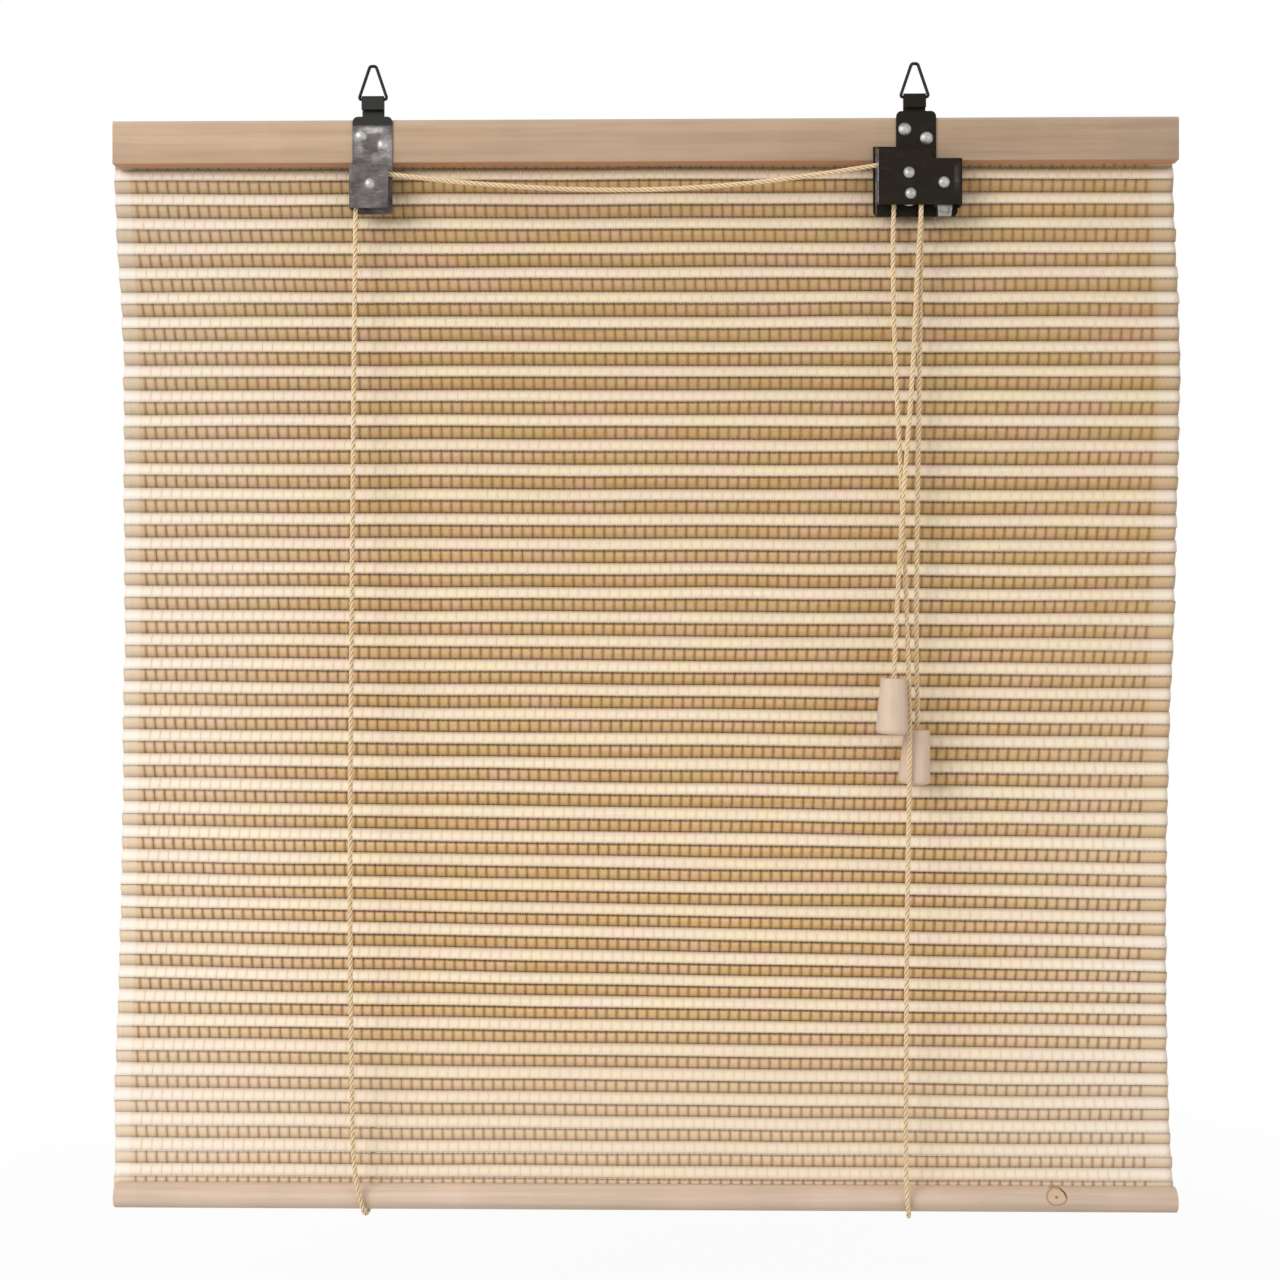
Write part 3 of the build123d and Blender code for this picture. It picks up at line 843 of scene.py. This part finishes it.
def slatMesh(name, slats, chance):
    columns = slatColumns()
    mesh = bpy.data.meshes.new(name)
    body = bmesh.new()
    uvLayer = body.loops.layers.uv.new("weave")
    toneLayer = body.verts.layers.float.new("tone")
    placeLayer = body.verts.layers.float_vector.new("place")
    for slat in slats:
        made = bmesh.ops.create_grid(body, x_segments=len(columns) - 1, y_segments=2, size=0.5)
        tone = chance.random()
        endShift = [chance.uniform(-1, 0) * matValues["endSpread"] for side in range(2)]
        for vertex in made["verts"]:
            number = round((vertex.co.x + 0.5) * (len(columns) - 1))
            share = 0.5 - vertex.co.y
            x = columns[number]
            if number == 0:
                x -= endShift[0]
            if number == len(columns) - 1:
                x += endShift[1]
            phase = (x - matValues["threadFrom"]) / threadStep
            near = abs(phase - round(phase)) * 2
            if slat % 2 == 0:
                near = 1 - near
            woven = matValues["threadFrom"] < x < matValues["threadTo"]
            swell = matValues["pillow"] * (near if woven else matValues["endSwell"])
            out = (matValues["crown"] + swell) * (1 - abs(2 * share - 1))
            vertex.co = onSlat(slat, x, share, out) * mm
            vertex[toneLayer] = tone
            vertex[placeLayer] = (phase, share, 0)
    for face in body.faces:
        for loop in face.loops:
            loop[uvLayer].uv = loop.vert[placeLayer].xy
    body.verts.layers.float_vector.remove(placeLayer)
    for face in body.faces:
        face.smooth = True
    body.to_mesh(mesh)
    body.free()
    return mesh


# Pale rows face up and brown rows face down; the brown colours are the same bamboo painted darker and
# browner, mostly as painted shade on the down-facing rows, on top of the shade that their lean gives
slatColours = {
    "pale": {
        "base": tint(248, 235, 213),
        "grain": tint(228, 206, 172),
        "blush": tint(246, 218, 200),
        "moss": tint(242, 226, 186),
        "edge": tint(124, 82, 38),
        "edgeTop": 0.45,
        "edgeLow": 0.7,
        "thread": tint(206, 174, 132),
        "threadLineAndShade": 0.2,
        "threadPhase": 0.5,
        "toneAmount": 0.35,
        "topGain": 0.85,
        "lowGain": 0.965,
        "freeEnd": tint(247, 237, 226),
        "litNearRail": tint(238, 220, 195),
    },
    "brown": {
        "base": tint(203, 168, 119),
        "grain": tint(175, 138, 87),
        "blush": tint(200, 162, 134),
        "moss": tint(185, 158, 106),
        "edge": tint(86, 52, 20),
        "edgeTop": 1.0,
        "edgeLow": 0.9,
        "thread": tint(144, 108, 66),
        "threadLineAndShade": 0.7,
        "threadPhase": 0.0,
        "toneAmount": 0.45,
        "topGain": 0.93,
        "lowGain": 1.26,
        "freeEnd": tint(204, 186, 164),
        "litNearRail": tint(201, 178, 151),
    },
}


# Shared by both colours; heights, and distances from the middle, are in metres
slatFinish = {
    "grainScale": (9.0, 700.0, 700.0),
    "streaks": 0.55,
    "flecks": 0.3,
    "toneFrom": 0.25,
    "flushScale": (26.0, 60.0, 130.0),
    "flushRange": (0.42, 0.64),
    "flushes": (("blush", 0.0, 0.8), ("moss", 3.0, 0.75)),      # colour, place in the noise, strength
    "plainFrom": 0.1,               # outside the last thread, in steps between threads
    "plainTo": 0.9,
    "leftPlain": 0.8,
    "rightPlain": 0.35,
    "nearRailLight": (-0.50, -0.565, 0.0, 0.75),
    "greyLeft": (-0.13, -0.285, 0.0, 0.42),
    "greyRight": (0.15, 0.29),
    "greyLow": (-0.2, -0.5, 0.0, 0.45),
    "fadeFrom": -0.05,
    "fadeTo": -0.42,
    "lineRange": (0.33, 0.05),
    "patchRange": (0.25, 0.65, 0.35, 1.0),
    "linesLitNearRail": 0.4,
    "topEdge": (0.2, 0.0),
    "lowEdge": (0.82, 1.0),
    "inner": (0.295, 0.16, 0.5, 1.0),
    "edgesLitNearRail": 0.45,
    "holes": (0.36, 0.12, 1.0, 0.6),
    "leftSpared": 0.7,
    "rightSpared": 0.2,
    "lineDepth": 1.5,
    "relief": 0.35,
    "reliefDepth": 0.0002,
    "roughness": 0.58,
    "shine": 0.18,
}


def atEnds(tree, leftEnd, rightEnd, leftAmount, rightAmount):
    left = calc(tree, "MULTIPLY", leftEnd, leftAmount)
    return calc(tree, "ADD", left, calc(tree, "MULTIPLY", rightEnd, rightAmount))


def makeSlatMaterial(name, values, finish):
    material, tree, shader = newMaterial(name)
    place = addNode(tree, "UVMap", uv_map="weave").outputs["UV"]
    parts = addNode(tree, "SeparateXYZ", {0: place}).outputs
    tone = addNode(tree, "Attribute", attribute_name="tone").outputs["Fac"]
    across = placeAlong(tree, "X")
    height = placeAlong(tree, "Z")
    grain = useGroup(tree, grainGroup, {
        "Vector": stretched(tree, finish["grainScale"]),
        "Pale": values["base"],
        "Dark": values["grain"],
        "Streaks": finish["streaks"],
        "Flecks": finish["flecks"],
    })
    darker = smoothRange(tree, tone, finish["toneFrom"], 1.0, 0.0, values["toneAmount"])
    colour = blendColour(tree, darker, grain["Color"], values["grain"])
    for shade, start, strength in finish["flushes"]:
        flush = stretched(tree, finish["flushScale"], place=(start, 0, start))
        flush = noiseValue(tree, flush, 1.0, 3.0, 0.65)
        flush = smoothRange(tree, flush, *finish["flushRange"], 0.0, strength)
        colour = blendColour(tree, flush, colour, values[shade])

    # Plain ends outside the first and last thread, painted light near the rail where the rows lie flatter
    # (the brown rows lighter, the pale ones a little darker), and greyer slats towards the left side and the
    # lower right
    last = matValues["threadCount"]
    leftEnd = smoothRange(tree, parts["X"], -finish["plainFrom"], -finish["plainTo"])
    rightEnd = smoothRange(tree, parts["X"], last + finish["plainFrom"], last + finish["plainTo"])
    plain = atEnds(tree, leftEnd, rightEnd, finish["leftPlain"], finish["rightPlain"])
    low = smoothRange(tree, height, *finish["nearRailLight"])
    colour = blendColour(tree, low, colour, values["litNearRail"])
    right = smoothRange(tree, across, *finish["greyRight"])
    right = product(tree, right, smoothRange(tree, height, *finish["greyLow"]))
    grey = calc(tree, "ADD", smoothRange(tree, across, *finish["greyLeft"]), right)
    colour = blendColour(tree, calc(tree, "MAXIMUM", plain, grey), colour, values["freeEnd"])
    # Painted shade and light: darker towards the header, lighter towards the rail
    colour = useGroup(tree, fadeGroup, {
        "Color": colour,
        "Along": height,
        "Low": finish["fadeFrom"],
        "High": finish["fadeTo"],
        "First": values["topGain"],
        "Last": values["lowGain"],
    })["Color"]

    # Groove under each thread: the thread's colour, spread wider as painted shade along it
    phase = calc(tree, "ADD", parts["X"], values["threadPhase"] + 0.5)
    near = calc(tree, "ABSOLUTE", calc(tree, "SUBTRACT", calc(tree, "FRACT", phase), 0.5))
    patchy = noiseValue(tree, place, 1.7, 3.0, 0.7)
    line = product(
        tree,
        smoothRange(tree, near, *finish["lineRange"]),
        smoothRange(tree, patchy, *finish["patchRange"]),
        without(tree, low, finish["linesLitNearRail"]),
        without(tree, calc(tree, "MAXIMUM", leftEnd, rightEnd)),
        values["threadLineAndShade"],
    )

    # Shade along both edges, weaker where the threads pass and at the sides
    edge = calc(
        tree, "MAXIMUM",
        smoothRange(tree, parts["Y"], *finish["topEdge"], 0.0, values["edgeTop"]),
        smoothRange(tree, parts["Y"], *finish["lowEdge"], 0.0, values["edgeLow"]),
    )
    pinch = calc(tree, "FRACT", calc(tree, "MULTIPLY", phase, 2.0))
    pinch = calc(tree, "ABSOLUTE", calc(tree, "SUBTRACT", pinch, 0.5))
    edge = product(
        tree,
        edge,
        smoothRange(tree, calc(tree, "ABSOLUTE", across), *finish["inner"]),
        without(tree, low, finish["edgesLitNearRail"]),
        smoothRange(tree, pinch, *finish["holes"]),
        without(tree, atEnds(tree, leftEnd, rightEnd, finish["leftSpared"], finish["rightSpared"])),
    )
    colour = blendColour(tree, line, colour, values["thread"])
    colour = blendColour(tree, edge, colour, values["edge"])
    plug(tree, colour, shader.inputs["Base Color"])
    relief = calc(tree, "SUBTRACT", grain["Height"], calc(tree, "MULTIPLY", line, finish["lineDepth"]))
    plug(tree, bumpNormal(tree, relief, finish["relief"], finish["reliefDepth"]), shader.inputs["Normal"])
    shader.inputs["Roughness"].default_value = finish["roughness"]
    shader.inputs["Specular IOR Level"].default_value = finish["shine"]
    return material


def threadLines(numbers, over):
    # A thread lies over every second slat's face and behind the slats between
    reach = matValues["threadRadius"] * 0.4 + matValues["crown"]
    behind = -matValues["thickness"] - matValues["threadRadius"]
    atEdge = matValues["threadAtEdge"]
    overSlat = ((0.08, atEdge), (0.5, reach), (0.92, atEdge))
    behindSlat = ((0.03, behind / 2), (0.5, behind), (0.97, behind / 2))
    lines = []
    for number in numbers:
        x = matValues["threadFrom"] + threadStep * number
        line = []
        for slat in range(2, matValues["slatCount"]):
            for share, out in overSlat if slat % 2 == over else behindSlat:
                line.append(onSlat(slat, x, share, out) * mm)
        lines.append(line)
    return lines


# Dark and pale threads are one kind of cord; the dark colours are partly painted shade for the recessed brown
# rows they cross
threadColours = {
    "dark": (tint(178, 142, 98), tint(122, 88, 54), tint(184, 156, 126)),
    "pale": (tint(244, 226, 196), tint(224, 198, 160), tint(236, 216, 188)),
}
threadFinish = {
    "fuzzScale": (1400.0, 1400.0, 500.0),
    "fuzzAmount": 0.4,
    "patchScale": (130.0, 130.0, 130.0),
    "nearRailLight": (-0.48, -0.56, 0.0, 0.55),
    "relief": 0.4,
    "reliefDepth": 0.0001,
    "roughness": 0.8,
}


def makeThreadMaterial(name, colours, finish):
    light, dark, litNearRail = colours
    material, tree, shader = newMaterial(name)
    fuzz = noiseValue(tree, stretched(tree, finish["fuzzScale"]), 1.0, 2.0)
    patchy = noiseValue(tree, stretched(tree, finish["patchScale"]), 1.0, 3.0, 0.7)
    patchy = smoothRange(tree, patchy, 0.35, 0.65, 0.0, 0.6)
    amount = calc(tree, "ADD", calc(tree, "MULTIPLY", fuzz, finish["fuzzAmount"]), patchy)
    colour = blendColour(tree, amount, light, dark)
    # Painted light near the rail, where the rows lie flatter: the dark threads lighter, the pale ones a
    # little darker
    low = smoothRange(tree, placeAlong(tree, "Z"), *finish["nearRailLight"])
    plug(tree, blendColour(tree, low, colour, litNearRail), shader.inputs["Base Color"])
    plug(tree, bumpNormal(tree, fuzz, finish["relief"], finish["reliefDepth"]), shader.inputs["Normal"])
    shader.inputs["Roughness"].default_value = finish["roughness"]
    return material


def makeMat():
    chance = random.Random(matValues["seed"])
    paleMaterial = makeSlatMaterial("pale slats", slatColours["pale"], slatFinish)
    # The brown rows: the pale rows' bamboo with painted shade
    shadedBrownMaterial = makeSlatMaterial("brown slats with painted shade", slatColours["brown"], slatFinish)
    middle = matValues["slatCount"] // 2
    made = []
    for name, slats, material in (
        ("pale_slats_upper", range(0, middle, 2), paleMaterial),
        ("pale_slats_lower", range(middle + 1, matValues["slatCount"], 2), paleMaterial),
        ("brown_slats_upper_painted_shade", range(1, middle + 1, 2), shadedBrownMaterial),
        ("brown_slats_lower_painted_shade", range(middle + 2, matValues["slatCount"], 2), shadedBrownMaterial),
    ):
        piece = linkPiece(name, slatMesh(name, slats, chance), material)
        wall = piece.modifiers.new("wall", "SOLIDIFY")
        wall.thickness = matValues["thickness"] * mm
        wall.offset = -1
        made.append(piece)
    # Dark threads: the cord's colour with painted shade
    shadedDarkThread = makeThreadMaterial("dark warp thread with painted shade", threadColours["dark"], threadFinish)
    paleThread = makeThreadMaterial("pale warp thread", threadColours["pale"], threadFinish)
    whole = matValues["threadCount"]
    for name, numbers, over, material in (
        ("dark_threads_left_painted_shade", range(0, whole // 2), 1, shadedDarkThread),
        ("dark_threads_right_painted_shade", range(whole // 2, whole + 1), 1, shadedDarkThread),
        ("pale_threads_left", [n + 0.5 for n in range(0, whole // 2)], 0, paleThread),
        ("pale_threads_right", [n + 0.5 for n in range(whole // 2, whole - 1)], 0, paleThread),
    ):
        mesh = tubeMesh(name, threadLines(numbers, over), matValues["threadRadius"] * mm, 0)
        made.append(linkPiece(name, mesh, material))
    for piece in made:
        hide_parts("slat_mat")


makeMat()
print("mat woven")


# Painted brackets with softened edges that are worn to the metal
bracketValues = {
    "left_bracket": {
        "edge": 0.16,
        # grey paint with paler clouds: the same black paint as the right bracket, with painted reflection of
        # the sheen on the tilted front plate
        "paint": tint(64, 57, 57),
        "cloud": tint(108, 101, 100),
        "streak": 0.22,
        "shine": 0.25,
        "dark": tint(26, 25, 22),
        "paintedShadeAbove": -3.6,
        "metal": tint(196, 192, 186),
        "chipEdge": 0.53,
        # middle x and z, half length, half height, strength
        "scuffsAndHighlights": (
            # the band just below the shoulders: partly a scuff, partly a painted highlight along the plate's
            # bend
            (-152.0, -6.6, 11.5, 3.0, 0.75),
            (-160.5, -13.5, 4.0, 8.5, 0.5),
            (-145.0, -16.5, 5.5, 11.5, 0.55),
            (-149.0, -22.0, 6.0, 4.5, 0.35),
        ),
    },
    "right_bracket": {
        "edge": 0.16,
        "paint": tint(27, 21, 13),
        "cloud": tint(34, 28, 20),
        "streak": 0.02,
        "shine": 0.1,
        "dark": tint(29, 25, 17),
        "paintedShadeAbove": -3.6,
        "metal": tint(176, 170, 164),
        "chipEdge": 0.6,
        # the long thin strip is a painted highlight along the plate's lit left edge; the small patch is a
        # scuff
        "scuffsAndHighlights": ((130.7, -35.8, 0.6, 24.0, 0.9), (174.5, -36.0, 2.0, 9.0, 0.12)),
        "wing": (163.9, -21.5, -15.0, 6.5),     # right wing of the plate: from x, low z, high z, drop
    },
}
# Shared by both brackets
paintFinish = {
    "sharpAngle": 0.6,              # edges that turn by more are rounded
    "cloudScale": (110.0, 110.0, 160.0),
    "chipScale": (300.0, 300.0, 300.0),
    "chipWidth": 0.12,
    "rubbedScale": (120.0, 200.0, 260.0),
    "streakScale": (160.0, 160.0, 900.0),
    "streakTurn": (0, 0.5, 0),
    "shoulder": (-1.3, 0.5),        # where the painted shade on the shoulders begins and is full, from its given height
    "front": (-4.6, -5.0),          # scuff marks and painted highlights lie in front of this
    "bareMetallic": 0.7,
    "roughness": 0.32,
    "cloudRoughness": 0.25,
    "relief": 0.1,
    "reliefDepth": 0.0002,
}


def softEdged(nodeName, values, sharpAngle):
    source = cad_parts[nodeName]
    body = bmesh.new()
    body.from_mesh(source.data)
    body.transform(source.matrix_world)
    bmesh.ops.remove_doubles(body, verts=body.verts[:], dist=1e-6)
    bmesh.ops.dissolve_limit(body, angle_limit=math.radians(1.0), verts=body.verts[:], edges=body.edges[:])
    if "wing" in values:
        fromX, low, high, drop = (value * mm for value in values["wing"])
        wing = [vertex for vertex in body.verts if vertex.co.x > fromX and low < vertex.co.z < high]
        bmesh.ops.translate(body, verts=wing, vec=(0, 0, -drop))
    joined = [edge for edge in body.edges if len(edge.link_faces) == 2]
    sharp = [edge for edge in joined if edge.calc_face_angle() > sharpAngle]
    wearLayer = body.verts.layers.float.new("wear")
    bevelled = bmesh.ops.bevel(
        body, geom=sharp, offset=values["edge"] * mm, offset_type="OFFSET", segments=2, profile=0.5,
        affect="EDGES", clamp_overlap=True, material=-1,
    )
    rounded = set(bevelled["faces"])
    for vertex in body.verts:
        if all(face in rounded for face in vertex.link_faces):
            vertex[wearLayer] = 1.0
    for face in body.faces:
        face.smooth = True
    bmesh.ops.triangulate(body, faces=body.faces[:])
    mesh = bpy.data.meshes.new(nodeName + "_finished")
    body.to_mesh(mesh)
    body.free()
    return mesh


def makePaint(name, values, finish):
    material, tree, shader = newMaterial(name)
    where = addNode(tree, "TexCoord").outputs["Object"]
    parts = addNode(tree, "SeparateXYZ", {0: where}).outputs
    wear = addNode(tree, "Attribute", attribute_name="wear").outputs["Fac"]
    cloud = noiseValue(tree, stretched(tree, finish["cloudScale"]), 1.0, 4.0, 0.6)
    chips = noiseValue(tree, stretched(tree, finish["chipScale"]), 1.0, 5.0, 0.75)
    rubbed = noiseValue(tree, stretched(tree, finish["rubbedScale"]), 1.0, 4.0, 0.7)
    streaks = stretched(tree, finish["streakScale"], turn=finish["streakTurn"])
    streaks = smoothRange(tree, noiseValue(tree, streaks, 1.0, 3.0, 0.6), 0.5, 0.8, 0.0, values["streak"])
    colour = blendColour(tree, smoothRange(tree, cloud, 0.3, 0.75), values["paint"], values["cloud"])
    colour = blendColour(tree, streaks, colour, values["metal"])
    # Painted shade on the shoulders at the top of the plate
    begin, full = ((values["paintedShadeAbove"] + step) * mm for step in finish["shoulder"])
    colour = blendColour(tree, smoothRange(tree, parts["Z"], begin, full), colour, values["dark"])

    # Bare metal on worn edges, and on front patches: scuff marks, and painted highlights on the right
    # bracket's lit edge and the left bracket's bend
    worn = smoothRange(tree, chips, values["chipEdge"], values["chipEdge"] + finish["chipWidth"])
    bare = product(tree, smoothRange(tree, wear, 0.3, 1.0), worn)
    behind, before = (step * mm for step in finish["front"])
    front = smoothRange(tree, parts["Y"], behind, before)
    rough = smoothRange(tree, rubbed, 0.3, 0.6, 0.4, 1.0)
    rough = product(tree, rough, smoothRange(tree, chips, 0.36, 0.6, 0.45, 1.0))
    for x, z, halfLength, halfHeight, strength in values["scuffsAndHighlights"]:
        across = calc(tree, "ABSOLUTE", calc(tree, "SUBTRACT", parts["X"], x * mm))
        upright = calc(tree, "ABSOLUTE", calc(tree, "SUBTRACT", parts["Z"], z * mm))
        mark = product(
            tree,
            smoothRange(tree, across, halfLength * mm, halfLength * 0.3 * mm, 0.0, strength),
            smoothRange(tree, upright, halfHeight * mm, halfHeight * 0.2 * mm),
            front,
            rough,
        )
        bare = calc(tree, "MAXIMUM", bare, mark)
    plug(tree, blendColour(tree, bare, colour, values["metal"]), shader.inputs["Base Color"])
    plug(tree, calc(tree, "MULTIPLY", bare, finish["bareMetallic"]), shader.inputs["Metallic"])
    roughness = calc(tree, "MULTIPLY", cloud, finish["cloudRoughness"])
    plug(tree, calc(tree, "ADD", roughness, finish["roughness"]), shader.inputs["Roughness"])
    plug(tree, bumpNormal(tree, cloud, finish["relief"], finish["reliefDepth"]), shader.inputs["Normal"])
    shader.inputs["Specular IOR Level"].default_value = values["shine"]
    return material


def makeBrackets():
    for nodeName, values in bracketValues.items():
        paint = makePaint(nodeName.replace("_", " ") + " paint", values, paintFinish)
        mesh = softEdged(nodeName, values, paintFinish["sharpAngle"])
        piece = linkPiece(nodeName + "_finished", mesh, paint)
        crisp = piece.modifiers.new("crisp", "WEIGHTED_NORMAL")
        crisp.keep_sharp = True
        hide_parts(nodeName)


makeBrackets()
print("brackets painted")


# Bare and plated metal
metalValues = {
    "bright zinc": {
        "colour": tint(178, 177, 173),
        "stain": tint(128, 126, 121),
        "roughness": 0.46,
        "nodes": (
            "left_nail_upper", "left_nail_lower", "right_nail_upper", "right_nail_lower",
            "left_pulley_rivet", "upper_roller_rivet", "lower_roller_rivet", "lock_cam_rivet",
            "header_staples", "rail_staples", "left_cord_staple", "right_cord_staple",
        ),
    },
    "dark ring wire": {
        "colour": tint(42, 42, 40),
        "stain": tint(28, 28, 27),
        "roughness": 0.42,
        "nodes": (),
    },
    "pale roller steel": {
        "colour": tint(196, 195, 190),
        "stain": tint(140, 138, 132),
        "roughness": 0.38,
        "nodes": ("left_pulley", "upper_roller", "lower_roller"),
    },
    "dull cam steel": {
        "colour": tint(150, 149, 144),
        "stain": tint(96, 94, 88),
        "roughness": 0.45,
        "nodes": ("lock_cam",),
    },
}


metalFinish = {
    "cloudScale": (260.0, 260.0, 260.0),
    "scratchScale": (300.0, 300.0, 2600.0),
    "scratchRoughness": 0.2,
    "metallic": 0.9,
    "relief": 0.1,
    "reliefDepth": 0.00005,
}


def makeMetal(name, values, finish):
    material, tree, shader = newMaterial(name)
    cloud = noiseValue(tree, stretched(tree, finish["cloudScale"]), 1.0, 4.0, 0.65)
    scratches = noiseValue(tree, stretched(tree, finish["scratchScale"]), 1.0, 2.0, 0.5)
    colour = blendColour(tree, smoothRange(tree, cloud, 0.4, 0.75), values["colour"], values["stain"])
    plug(tree, colour, shader.inputs["Base Color"])
    shader.inputs["Metallic"].default_value = finish["metallic"]
    roughness = calc(tree, "MULTIPLY", scratches, finish["scratchRoughness"])
    roughness = calc(tree, "ADD", roughness, values["roughness"] - finish["scratchRoughness"] / 2)
    plug(tree, roughness, shader.inputs["Roughness"])
    plug(tree, bumpNormal(tree, scratches, finish["relief"], finish["reliefDepth"]), shader.inputs["Normal"])
    return material


# The rings' wire, a little thicker outside the hemmed eye, in millimetres
ringValues = {
    "grow": 0.2,
    "eyeHalf": 6.3,         # half the eye's width
    "eyeTop": 2.8,          # above the ring's lowest point
    "blend": 0.8,           # the wire reaches its full thickness over this distance
}


def makeRing(side, material, values):
    nodeName = side + "_hanging_ring"
    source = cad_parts[nodeName]
    low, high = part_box(nodeName)
    body = bmesh.new()
    body.from_mesh(source.data)
    body.transform(source.matrix_world)
    bmesh.ops.remove_doubles(body, verts=body.verts[:], dist=1e-6)
    bmesh.ops.recalc_face_normals(body, faces=body.faces[:])
    body.normal_update()
    for vertex in body.verts:
        beside = abs(vertex.co.x - (low[0] + high[0]) / 2) / mm - values["eyeHalf"]
        above = (vertex.co.z - low[2]) / mm - values["eyeTop"]
        share = min(1.0, max(0.0, beside / values["blend"], above / values["blend"]))
        vertex.co += vertex.normal * values["grow"] * mm * share
        vertex.co.z = min(vertex.co.z, high[2])
    for face in body.faces:
        face.smooth = True
    mesh = bpy.data.meshes.new(nodeName + "_wire")
    body.to_mesh(mesh)
    body.free()
    ring = linkPiece(nodeName + "_wire", mesh, material, side + "_ring")
    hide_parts(nodeName)


metalMaterials = {}
for metalName, metal in metalValues.items():
    metalMaterials[metalName] = makeMetal(metalName, metal, metalFinish)
    dress(metal["nodes"], metalMaterials[metalName])
for ringSide in ("left", "right"):
    makeRing(ringSide, metalMaterials["dark ring wire"], ringValues)
print("metal dressed")


# Floor, lamps and the white surroundings
studioValues = {
    "floorDrop": 0.1,
    "floorSize": 6.0,
    "floorColour": (0.86, 0.86, 0.86, 1),
    "floorRoughness": 0.9,
    "floorWhite": (0.3, 1.0, 0.92, 1.0),    # near and far reach, and the share of plain white at each
    "worldLight": 0.62,
    "aim": (0, 0, -0.3),
    "key": {"place": (-1.5, -1.7, 0.7), "size": 1.4, "power": 34.0},
    "fill": {"place": (1.6, -1.9, 0.1), "size": 1.6, "power": 7.0},
}


def cameraMask(tree):
    rays = addNode(tree, "LightPath").outputs
    seen = calc(tree, "MAXIMUM", rays["Is Camera Ray"], rays["Is Glossy Ray"])
    return calc(tree, "MAXIMUM", seen, rays["Is Transmission Ray"])


def makeStudio(values):
    scene = bpy.context.scene
    scene.view_settings.view_transform = "Standard"
    world = bpy.data.worlds.new("studio")
    scene.world = world
    world.use_nodes = True
    tree = world.node_tree
    background = tree.nodes["Background"]
    background.inputs["Color"].default_value = (1, 1, 1, 1)
    plug(tree, smoothRange(tree, cameraMask(tree), 0.0, 1.0, values["worldLight"], 1.0),
         background.inputs["Strength"])
    for lampName in ("key", "fill"):
        lamp = values[lampName]
        data = bpy.data.lights.new(lampName, "AREA")
        data.energy = lamp["power"]
        data.size = lamp["size"]
        holder = bpy.data.objects.new(lampName, data)
        scene.collection.objects.link(holder)
        holder.location = lamp["place"]
        aim = Vector(values["aim"]) - holder.location
        holder.rotation_euler = aim.to_track_quat("-Z", "Y").to_euler()
    material, tree, shader = newMaterial("pale floor")
    shader.inputs["Base Color"].default_value = values["floorColour"]
    shader.inputs["Roughness"].default_value = values["floorRoughness"]
    glow = addNode(tree, "Emission", {"Color": (1, 1, 1, 1), "Strength": 1.0})
    where = addNode(tree, "TexCoord").outputs["Object"]
    flat = addNode(tree, "VectorMath", {0: where, 1: (1.0, 1.0, 0.0)}, operation="MULTIPLY").outputs[0]
    reach = addNode(tree, "VectorMath", {0: flat}, operation="LENGTH").outputs["Value"]
    share = calc(tree, "MULTIPLY", cameraMask(tree), smoothRange(tree, reach, *values["floorWhite"]))
    mixed = addNode(tree, "MixShader", {0: share, 1: shader.outputs["BSDF"], 2: glow.outputs[0]})
    output = [item for item in tree.nodes if item.type == "OUTPUT_MATERIAL"][0]
    tree.links.new(mixed.outputs[0], output.inputs["Surface"])
    mesh = bpy.data.meshes.new("floor")
    body = bmesh.new()
    bmesh.ops.create_grid(body, x_segments=1, y_segments=1, size=values["floorSize"] / 2)
    bmesh.ops.translate(body, verts=body.verts[:], vec=(0, 0, cadBounds[0][2] - values["floorDrop"]))
    body.to_mesh(mesh)
    body.free()
    mesh.materials.append(material)
    floor = bpy.data.objects.new("floor", mesh)
    scene.collection.objects.link(floor)


makeStudio(studioValues)
print("studio lit")
